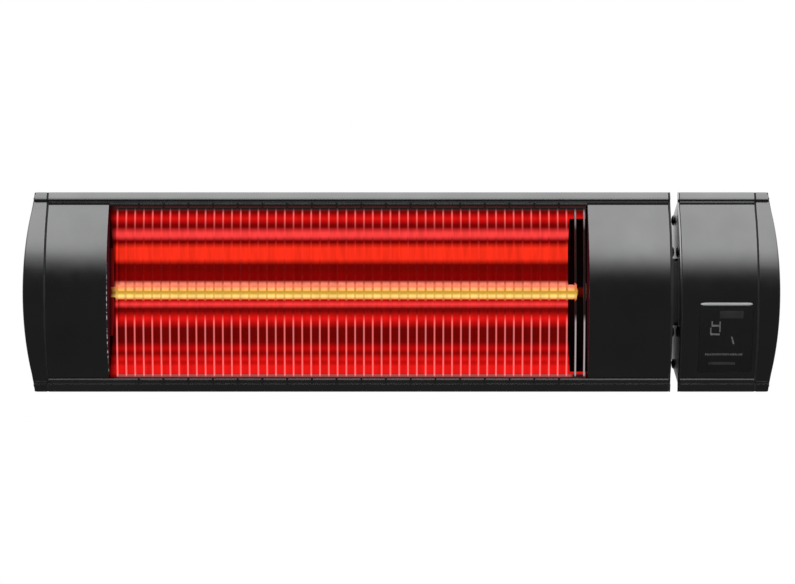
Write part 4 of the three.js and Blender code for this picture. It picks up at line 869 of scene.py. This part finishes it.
for name, side, finish in (("main_end_plate", -1, PLATE), ("pod_end_plate", 1, POD_PLATE_PAINTED_SHADE)):
    openings = [ring(2.3, 20, port) for port in PORTS] + [neck_outline(0.3)]
    free, joint = span(name) if side > 0 else reversed(span(name))
    plate = prism(end_outline(), free, joint - side * SEAL, holes=openings)
    form(name, plate, finish, edge=0.06, slot="housing_black")
    seal = prism(inward(end_outline(), 0.15), joint - SEAL, joint + SEAL, holes=[core_outline(2.8)])
    piece(name + "_seal", seal, RUBBER)


def neck():
    """A tube between the plates, with a collar at each end."""
    parts = [prism(neck_outline(0), *span("connecting_neck"), holes=[neck_outline(-2.2)])]
    plate, far = span("main_end_plate")[1], span("pod_end_plate")[0]
    for start, end in ((plate + 0.3, plate + 1.3), (far - 1.3, far - 0.3)):
        parts.append(prism(neck_outline(2), start, end, holes=[neck_outline(-0.05)]))
    return merge(*parts)


form("connecting_neck", neck(), PLATE, edge=0.2, slot="black_plastic")


def thread(radius, root, start, pitch, drop, turns):
    """A thread's rows for turned(): a crest, then a root, turn by turn."""
    rows = []
    for at in (start + i * pitch for i in range(turns)):
        rows += [(radius, at), (root, at + drop)]
    return rows


def screw_template():
    """A pan head screw with a cross recess, seated at x = 0 and pointing along +X."""
    head = [(0, -1.6), (1.3, -1.56), (2.4, -1.35), (3.2, -0.9), (3.6, -0.25), (3.6, 0), (2.0, 0)]
    profile = head + thread(2.0, 1.72, 0.6, 0.84, 0.42, 18) + [(1.2, 16), (0, 16)]
    body = turned(profile, lambda a, b, c: Vector((c, a, b)) * MM, (0, 0), 32)
    cutters = []
    for turn in (0, math.pi / 2):
        slot = bmesh.new()
        bmesh.ops.create_cube(slot, size=1.0)
        for v in slot.verts:
            deep = v.co.x > 0
            v.co = Vector((-0.45 if deep else -2.2, v.co.y * (2.2 if deep else 3.6), v.co.z * 0.62)) * MM
            v.co = Matrix.Rotation(turn, 3, "X") @ v.co
        cutters.append(slot)
    return cut_mesh(body, cutters, "screw")


screw_mesh = screw_template()
for node in sorted(n for n in nodes if "_screw_" in n):
    low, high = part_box(node)
    forwards = node.startswith(("left_cap", "pod_plate"))
    mesh = screw_mesh.copy()
    seat = low.x + 1.6 * MM if forwards else high.x - 1.6 * MM
    centre = (low + high) / 2
    spin = Matrix.Rotation(0.4 + 1.7 * (sum(map(ord, node)) % 7), 4, "X")
    turn = Matrix.Identity(4) if forwards else Matrix.Rotation(math.pi, 4, "Z")
    mesh.transform(Matrix.Translation((seat, centre.y, centre.z)) @ turn @ spin)
    form(node, mesh, BLACK_SCREW if "_plate_" in node else ZINC, slot="zinc_steel")


# ---- end caps

CAP_CORNER = 8.1
CAP_CROWN = 5.9
CAP_EDGE = 1.4
CAP_SINK = 3.0
ON_JOINT = -1.0           # stands for the joint face where other levels give their drop below the crown


def crown(z):
    return CAP_CORNER + CAP_CROWN * (1 - (z / HALF_HEIGHT) ** 2)


def end_cap(joint, side):
    """A crowned casting: the joint face, the wall, a rounded edge and a crowned outer face."""
    outline = end_outline()
    bm = bmesh.new()
    levels = [(0.0, ON_JOINT)]
    for turn in (math.pi / 12 * k for k in range(7)):
        levels.append((CAP_EDGE * (1 - math.cos(turn)), CAP_EDGE * (1 - math.sin(turn))))
    bridge(bm, [[bm.verts.new((y, z, drop)) for y, z in inward(outline, inset)] for inset, drop in levels])
    for k in range(-26, 27):
        geometry = bm.verts[:] + bm.edges[:] + bm.faces[:]
        bmesh.ops.bisect_plane(bm, geom=geometry, plane_co=(0, k * 2.55, 0), plane_no=(0, 1, 0), dist=1e-5)
    for v in bm.verts:
        y, z, drop = v.co
        x = 0.0 if drop < 0 else crown(z) - drop
        v.co = to_world(joint + side * x, y, z)
    return outward(bm)


def cap_mesh(joint, side):
    """The casting with its pocket behind and its screw sinks."""
    cutters = [prism(core_outline(4.0), joint - side, joint + side * 5.6)]
    for y, z in PORTS:
        floor, over = crown(z) - CAP_SINK, CAP_CORNER + CAP_CROWN + 2
        cutters.append(prism(ring(3.9, 28, (y, z)), joint + side * floor, joint + side * over))
    return cut_mesh(end_cap(joint, side), cutters, "cap")


for label, side in SIDES:
    name = label + "_end_cap"
    joint = span(name)[1] if side < 0 else span(name)[0]
    form(name, cap_mesh(joint, side), CAP, edge=0.06)
    gasket = label + "_cap_gasket"
    x0, x1 = span(gasket)
    seal = prism(inward(end_outline(), 0.3), x0 - SEAL, x1 + SEAL, holes=[core_outline(2.8)])
    form(gasket, seal, RUBBER, edge=0.12)


# ---- lamp guard

BORDER_Z = 56.9
BORDER_Y = front_y(1.0, BORDER_Z)
GUARD_RISE = 8.1
GUARD_COUNT = 54
WIRE_RADIUS = 0.75
HOOK_LEFT = -178.9
HOOK_PITCH = 16.8
HOOK_COUNT = 18


def guard():
    bm = bmesh.new()
    first, last = GUARD_LEFT, GUARD_LEFT + (GUARD_COUNT - 1) * GUARD_PITCH
    arc = []
    for k in range(29):
        z = BORDER_Z * (k / 14 - 1)
        arc.append((BORDER_Y - GUARD_RISE * (1 - (z / BORDER_Z) ** 2), z))
    for i in range(GUARD_COUNT):
        tube(bm, [to_world(first + i * GUARD_PITCH, y, z) for y, z in arc], WIRE_RADIUS)
    route = [(BORDER_Y, BORDER_Z), (-2.1, BORDER_Z), (-2.1, RIB_TOP + 0.9), (0.4, RIB_TOP + 0.9)]
    for side in (1, -1):
        ends = [to_world(x, BORDER_Y, side * BORDER_Z) for x in (first - 0.6, last + 0.6)]
        tube(bm, ends, 1.0, 12)
        for i in range(HOOK_COUNT):
            x = HOOK_LEFT + i * HOOK_PITCH
            tube(bm, bent([to_world(x, y, side * z) for y, z in route], 0.7), 0.6)
    middle_y = BORDER_Y - GUARD_RISE + 1.2
    tube(bm, [to_world(first, middle_y, 0), to_world(last - GUARD_PITCH, middle_y, 0)], WIRE_RADIUS)
    return bm


form("lamp_guard", guard(), WIRE, sharp=60)


# ---- reflector and lamp

SHEET = 0.8


def thick_run(run):
    """A closed outline about an open run of sheet."""
    back = []
    for i, point in enumerate(run):
        before = Vector(point) - Vector(run[i - 1]) if i else Vector(run[1]) - Vector(run[0])
        after = Vector(run[i + 1]) - Vector(point) if i + 1 < len(run) else before
        x, y = miter(before, after, SHEET, 0.5)
        back.append((point[0] + x, point[1] + y))
    return run + back[::-1]


def reflector():
    x0, x1 = span("reflector")
    top = PANEL_HALF - 0.3
    half = [(3.4, top), (9, top - 8.1, 3), (17, top - 14.1, 3), (28, top - 24.1, 3), (38, top - 38.1, 3),
            (42, top - 50.1, 3), (40, 0)]
    half = rounded_chain(half, 3)
    trough = prism(thick_run(half + mirrored(half)[1:]), x0, x1 - 11)
    edges = []
    for side, drop in ((1, 8.1), (-1, 3.8)):
        lip = [(3.4, side * top), (3.4 + 0.69 * drop, side * (top - drop))]
        if side < 0:
            lip.reverse()
        edges.append(prism(thick_run(lip), x1 - 11.2, x1))
    return merge(trough, *edges)


form("reflector", reflector(), REFLECTOR_PAINTED_GLOW, sharp=25)

# A dark sheet in painted shade closes the view past the trough's open end.
sheet = [(47, -46), (47.8, -46), (47.8, 46), (47, 46)]
shade_sheet = prism(sheet, span("reflector")[1] - 11.6, window_right - 0.4)
piece("reflector_shade_sheet", shade_sheet, SHADE, slot="reflector_gold", edge=0.1)

LAMP_X = -38.4
COIL_HALF = 158.5
LAMP_AXIS = (14.0, 0.0)


def lamp_tube():
    x0, x1 = span("lamp_tube")
    pinch = [(2.6, 0), (3.4, 0), (3.4, 4), (3.9, 5.2), (4.7, 6.4)]
    outside = [(radius, x0 + at) for radius, at in pinch]
    outside += [(LAMP_RADIUS, x0 + 7.6 + (x1 - x0 - 15.2) * i / 40) for i in range(41)]
    outside += [(radius, x1 - at) for radius, at in reversed(pinch)]
    return turned(outside, to_x, LAMP_AXIS, 36)


def filament():
    """The wound tungsten coil on its straight leads."""
    x0, x1 = span("lamp_filament")
    bm = bmesh.new()
    start, end = LAMP_X - COIL_HALF, LAMP_X + COIL_HALF
    path = [to_world(x0, *LAMP_AXIS), to_world(start - 1, *LAMP_AXIS)]
    turns = 90
    for i in range(turns * 8 + 1):
        angle = math.pi * i / 4
        x = start + (end - start) * i / (turns * 8)
        path.append(to_world(x, LAMP_AXIS[0] + 0.9 * math.cos(angle), 0.9 * math.sin(angle)))
    path += [to_world(end + 1, *LAMP_AXIS), to_world(x1, *LAMP_AXIS)]
    tube(bm, path, 0.3, 5)
    return bm


form("lamp_tube", lamp_tube(), RUBY)
form("lamp_filament", filament(), TUNGSTEN, sharp=80)


# ---- display and light bar

MARK_PROUD = 0.03


def marks(rectangles):
    """Thin marks on the window's curve, as (x from its left edge, width, lowest and highest z, lean)."""
    start = span("display_window")[0]
    bm = bmesh.new()
    for x, width, low, high, lean in rectangles:
        rows = []
        for z in (low, (low + high) / 2, high):
            left = start + x + lean * (z - low)
            rows.append([bm.verts.new(to_x(front_y(-MARK_PROUD, z), z, at)) for at in (left, left + width)])
        for (a, b), (c, d) in zip(rows, rows[1:]):
            bm.faces.new((a, b, d, c))
    return bm


digit = [(7.9, 6.2, -23.4, -22.1, 0), (7.4, 6.2, -29.2, -27.9, 0), (7.9, 0.9, -22.6, -19.6, 0),
         (13.3, 0.8, -27, -19.8, 0), (7.1, 0.9, -28.4, -24.0, 0)]
tick = [(22.8, 1.0, -35.2, -30.2, -0.3)]
scale_row = [(4.4 + i * 1.11, 0.6, -42.9, -41.5, 0) for i in range(23)]
soft = [(6.8, 18.2, -49.2, -47.4, 0)]
hazy = [(13.4, 16.0, -17.8, -12.6, 0)] + [(x, 0.3, -52.5, -12.5, 0) for x in (1.2, 32.4)]
x0, x1, z0, z1 = face_box("display_window")
pane = prism(front_arc(0, z0, z1, 24) + front_arc(SKIN, z1, z0, 24), x0, x1)
form("display_window", pane, ACRYLIC, edge=0.1)
piece("display_marks", marks(digit + tick + scale_row), MARK, slot="display_red")
piece("display_bar", marks(soft), FAINT, slot="display_red")
piece("display_haze", marks(hazy), HAZE, slot="display_red")


def light_bar():
    """A slim bar with tapered ends, crowned a little over the panel."""
    x0, x1, z0, z1 = face_box("light_bar")
    middle_z = (z0 + z1) / 2
    bm = bmesh.new()
    rows = []
    sections = [(0, 0.25), (0.4, 0.55), (1.0, 0.8), (2.2, 0.95), (4, 1.0), (17.5, 1.0)]
    for distance, share in sections + [(x1 - x0 - d, s) for d, s in reversed(sections[:-1])]:
        half = (z1 - z0) / 2 * share
        points = []
        for k in range(9):
            angle = math.pi * k / 8
            z = middle_z + half * math.cos(angle)
            points.append((front_y(0, z) + 0.9 * (1 - math.sin(angle)), z))
        points += [(front_y(SKIN, z), z) for z in (middle_z - half, middle_z + half)]
        rows.append([bm.verts.new(to_x(*point, x0 + distance)) for point in points])
    bridge(bm, rows)
    return outward(bm)


form("light_bar", light_bar(), SILVER, sharp=60)


# ---- bracket, bolts and gland

PIVOT = (87.0, 0.0)
EAR_INNER = 46.0
EAR_RADIUS = 13.0
STEEL = 3.0
ARM_OUTER = 44.1
ARM_PLATE = 62.3
KNOB_SEAT = 49.3
PIVOT_HOLE = ring(3.3, 28, PIVOT)


def lobes(i):
    """What six finger hollows take off the knob's radius at step i of 96."""
    return 1.1 * (1 - math.cos(6 * 2 * math.pi * i / 96))


def ear(plate_y):
    reach = 1 if plate_y > PIVOT[0] else -1
    nose = []
    for i in range(25):
        turn = -math.pi / 2 + math.pi * i / 24
        nose.append((PIVOT[0] - reach * EAR_RADIUS * math.cos(turn), EAR_RADIUS * math.sin(turn)))
    return nose + [(plate_y, EAR_RADIUS), (plate_y, -EAR_RADIUS)]


def folded_sheet(half_width, half_height, plate, ear_inner, holes, radius):
    """A plate with two ears folded from it, cut round at the corners."""
    outline = rounded_box(-half_width, half_width, -half_height, half_height, radius, 6)
    parts = [prism(outline, plate, plate + STEEL, to_y, holes)]
    for side in (1, -1):
        ends = side * ear_inner, side * (ear_inner + STEEL)
        parts.append(prism(ear(plate + STEEL / 2), *ends, holes=[PIVOT_HOLE]))
    return merge(*parts)


wall_holes = [ring(3.5, 24, (sx * 55, sz * 20)) for sx in (1, -1) for sz in (1, -1)]
form("wall_plate", folded_sheet(65, 30, LIP_TO_WALL - STEEL, EAR_INNER, wall_holes, 5), BRACKET,
     edge=0.45, segments=3)
arm_holes = [ring(3.3, 24, (side * 25, 0)) for side in (1, -1)]
form("tilt_arm", folded_sheet(ARM_OUTER, 22, ARM_PLATE, ARM_OUTER - STEEL, arm_holes, 4), BRACKET,
     edge=0.45, segments=3)

for label, side in SIDES:
    washer = label + "_friction_washer"
    form(washer, prism(ring(9, 40, PIVOT), *span(washer), holes=[PIVOT_HOLE]), RUBBER, edge=0.2)

    bolt = label + "_pivot_bolt"
    seat = ARM_OUTER - STEEL - 0.3
    tip = KNOB_SEAT + 10.0
    head = [(0, seat - 3.5), (3.2, seat - 3.5), (4.4, seat - 3.1), (5.2, seat - 2.1), (5.5, seat - 1),
            (5.5, seat)]
    shank = [(3.0, seat), (3.0, ARM_OUTER + 6), *thread(3.0, 2.65, ARM_OUTER + 6.3, 0.7, 0.3, 12)]
    profile = head + shank + [(2.4, tip), (0, tip)]
    form(bolt, turned([(r, side * d) for r, d in profile], to_x, PIVOT, 32), ZINC)

    knob = label + "_clamp_knob"
    seat = KNOB_SEAT
    rows = [(9.6, seat, 0.0), (9.6, seat + 3, 0.0), (14.6, seat + 3, 0.55), (15.6, seat + 3.5, 0.9),
            (16.0, seat + 4.5, 1.0), (16.0, seat + 10, 1.0), (15.5, seat + 11.3, 0.9), (14.2, seat + 12, 0.7),
            (8.0, seat + 12, 0.1), (7.4, seat + 11.5, 0.0)]
    profile = [(r, side * d, lobe) for r, d, lobe in rows]
    form(knob, turned(profile, to_x, PIVOT, 96, lobes), PLASTIC, sharp=40)

    mount = label + "_mount_bolt"
    centre = (side * 25.0, 0.0)
    seat = 65.6
    hexagon = prism(ring(5.6, 6, centre), seat + 0.6, seat + 4, to_y)
    flange = turned([(0, seat), (5.9, seat), (5.5, seat + 0.7), (0, seat + 0.7)], to_y, centre, 32)
    shank = [(0, seat), (3, seat), *thread(3.0, 2.65, seat - 6, -0.8, -0.35, 7), (2.4, 54.3), (0, 54.3)]
    form(mount, merge(hexagon, flange, turned(shank, to_y, centre, 24)), ZINC, edge=0.25)

GLAND = (sum(span("cable_gland")) / 2, -20.0)
bore = [ring(4.5, 28, GLAND)]
hexagon = prism(ring(11, 6, GLAND, math.pi / 6), 62.3, 67.3, to_y, bore)
neck_ring = prism(ring(6.5, 32, GLAND), 67.3, 75.3, to_y, bore)
tail = prism(ring(8, 32, GLAND), 54, 62.4, to_y, bore)
form("cable_gland", merge(hexagon, neck_ring, tail), PLASTIC, edge=0.35)


def grip_ribs(i):
    return 0.55 if i % 6 in (0, 1) else 0.0


nut = [(10, 67.6, 1.0), (10, 68.4, 1.0), (10, 75.2, 1.0), (9.7, 76.4, 0.6), (8.8, 77.6, 0.0),
       (7.2, 78.4, 0.0), (5.2, 78.6, 0.0), (4.5, 78.3, 0.0), (4.5, 70.0, 0.0), (6.8, 69.9, 0.0),
       (6.8, 67.6, 0.0)]
form("gland_nut", turned(nut, to_y, GLAND, 120, grip_ribs, hollow=True), PLASTIC, sharp=40)

# ---- inner parts that keep their CAD shape

# The lamp brackets are painted: the left with a painted red glow, the right in painted shade.
KEPT = {
    "left_lamp_base": LAMP_BASE, "right_lamp_base": LAMP_BASE, "left_lamp_holder": STEATITE,
    "right_lamp_holder": STEATITE, "left_lamp_bracket": BRACKET_PAINTED_GLOW, "right_lamp_bracket": SHADE,
    "left_contact": BRASS, "right_contact": BRASS, "control_board": BOARD, "display_module": MODULE,
    "power_relay": RELAY, "heat_sink": ALUMINIUM, "terminal_block": TERMINAL, "nut_plate": ZINC,
}
for name, finish in KEPT.items():
    thing = nodes[name]
    thing.data.materials.clear()
    thing.data.materials.append(finish)
    round_edges(thing, 0.3, angle=50, harden=False)

# ---- floor, lamps and world

FLOOR_Z = -0.62

floor_mesh = bpy.data.meshes.new("floor")
corners = [(-3, -4), (3, -4), (3, 2), (-3, 2)]
floor_mesh.from_pydata([(x, y, FLOOR_Z) for x, y in corners], [], [(0, 1, 2, 3)])
floor = placed("floor", floor_mesh)
floor_finish = Finish("floor_pale", roughness=0.8)
floor_finish.colour(floor_finish.tones(floor_finish.noise(3), grey(0.86), grey(0.9)))
floor_mesh.materials.append(floor_finish.material)
floor.visible_glossy = False


def area_lamp(name, place, size, power):
    """A soft lamp that aims at the middle of the heater."""
    data = bpy.data.lights.new(name, "AREA")
    data.shape = "RECTANGLE"
    data.size, data.size_y = size
    data.energy = power
    lamp = placed(name, data)
    lamp.location = place
    lamp.rotation_euler = (Vector((0, -0.1, 0)) - Vector(place)).to_track_quat("-Z", "Y").to_euler()
    lamp.visible_glossy = False


area_lamp("key", (-0.8, -2.0, 2.2), (2.4, 1.6), 45)
area_lamp("fill", (1.4, -1.8, 0.6), (1.6, 1.6), 12)

world = bpy.data.worlds.new("studio")
scene.world = world
world.use_nodes = True
world.node_tree.nodes.clear()

# What metal shows: a soft box overhead that fades out towards the horizon, and a white wall behind.
SKY = [(0.0, 0.07), (0.5, 0.062), (0.6, 0.065), (0.63, 0.08), (0.66, 0.13), (0.695, 0.28), (0.725, 0.5),
       (0.757, 0.82), (0.787, 1.25), (0.813, 1.5), (0.84, 1.7), (0.87, 1.85), (1.0, 1.87)]
sky = Nodes(world.node_tree)
direction = sky.add("ShaderNodeSeparateXYZ")
sky.link(sky.add("ShaderNodeTexCoord").outputs["Generated"], direction.inputs["Vector"])
across, ahead, upwards = direction.outputs
tilt = sky.mapped(across, -0.09, 0.09, -0.028, 0.028)
height = sky.math("ADD", sky.math("MULTIPLY_ADD", upwards, 0.5, 0.5), tilt)
soft_box = sky.ramp(height, [(position, grey(level)) for position, level in SKY])
wall = sky.product(sky.mapped(upwards, -0.35, 0.1), sky.mapped(upwards, 0.6, 0.3))
behind = sky.product(sky.mapped(ahead, -0.05, 0.25), wall)
path = sky.add("ShaderNodeLightPath")
room = sky.blend(path.outputs["Is Glossy Ray"], grey(0.5), sky.blend(behind, soft_box, grey(1.0)))
plain = sky.math("MAXIMUM", path.outputs["Is Camera Ray"], path.outputs["Is Transmission Ray"])
background = sky.add("ShaderNodeBackground")
sky.link(sky.blend(plain, room, grey(1.0)), background.inputs["Color"])
sky.link(background.outputs["Background"], sky.add("ShaderNodeOutputWorld").inputs["Surface"])
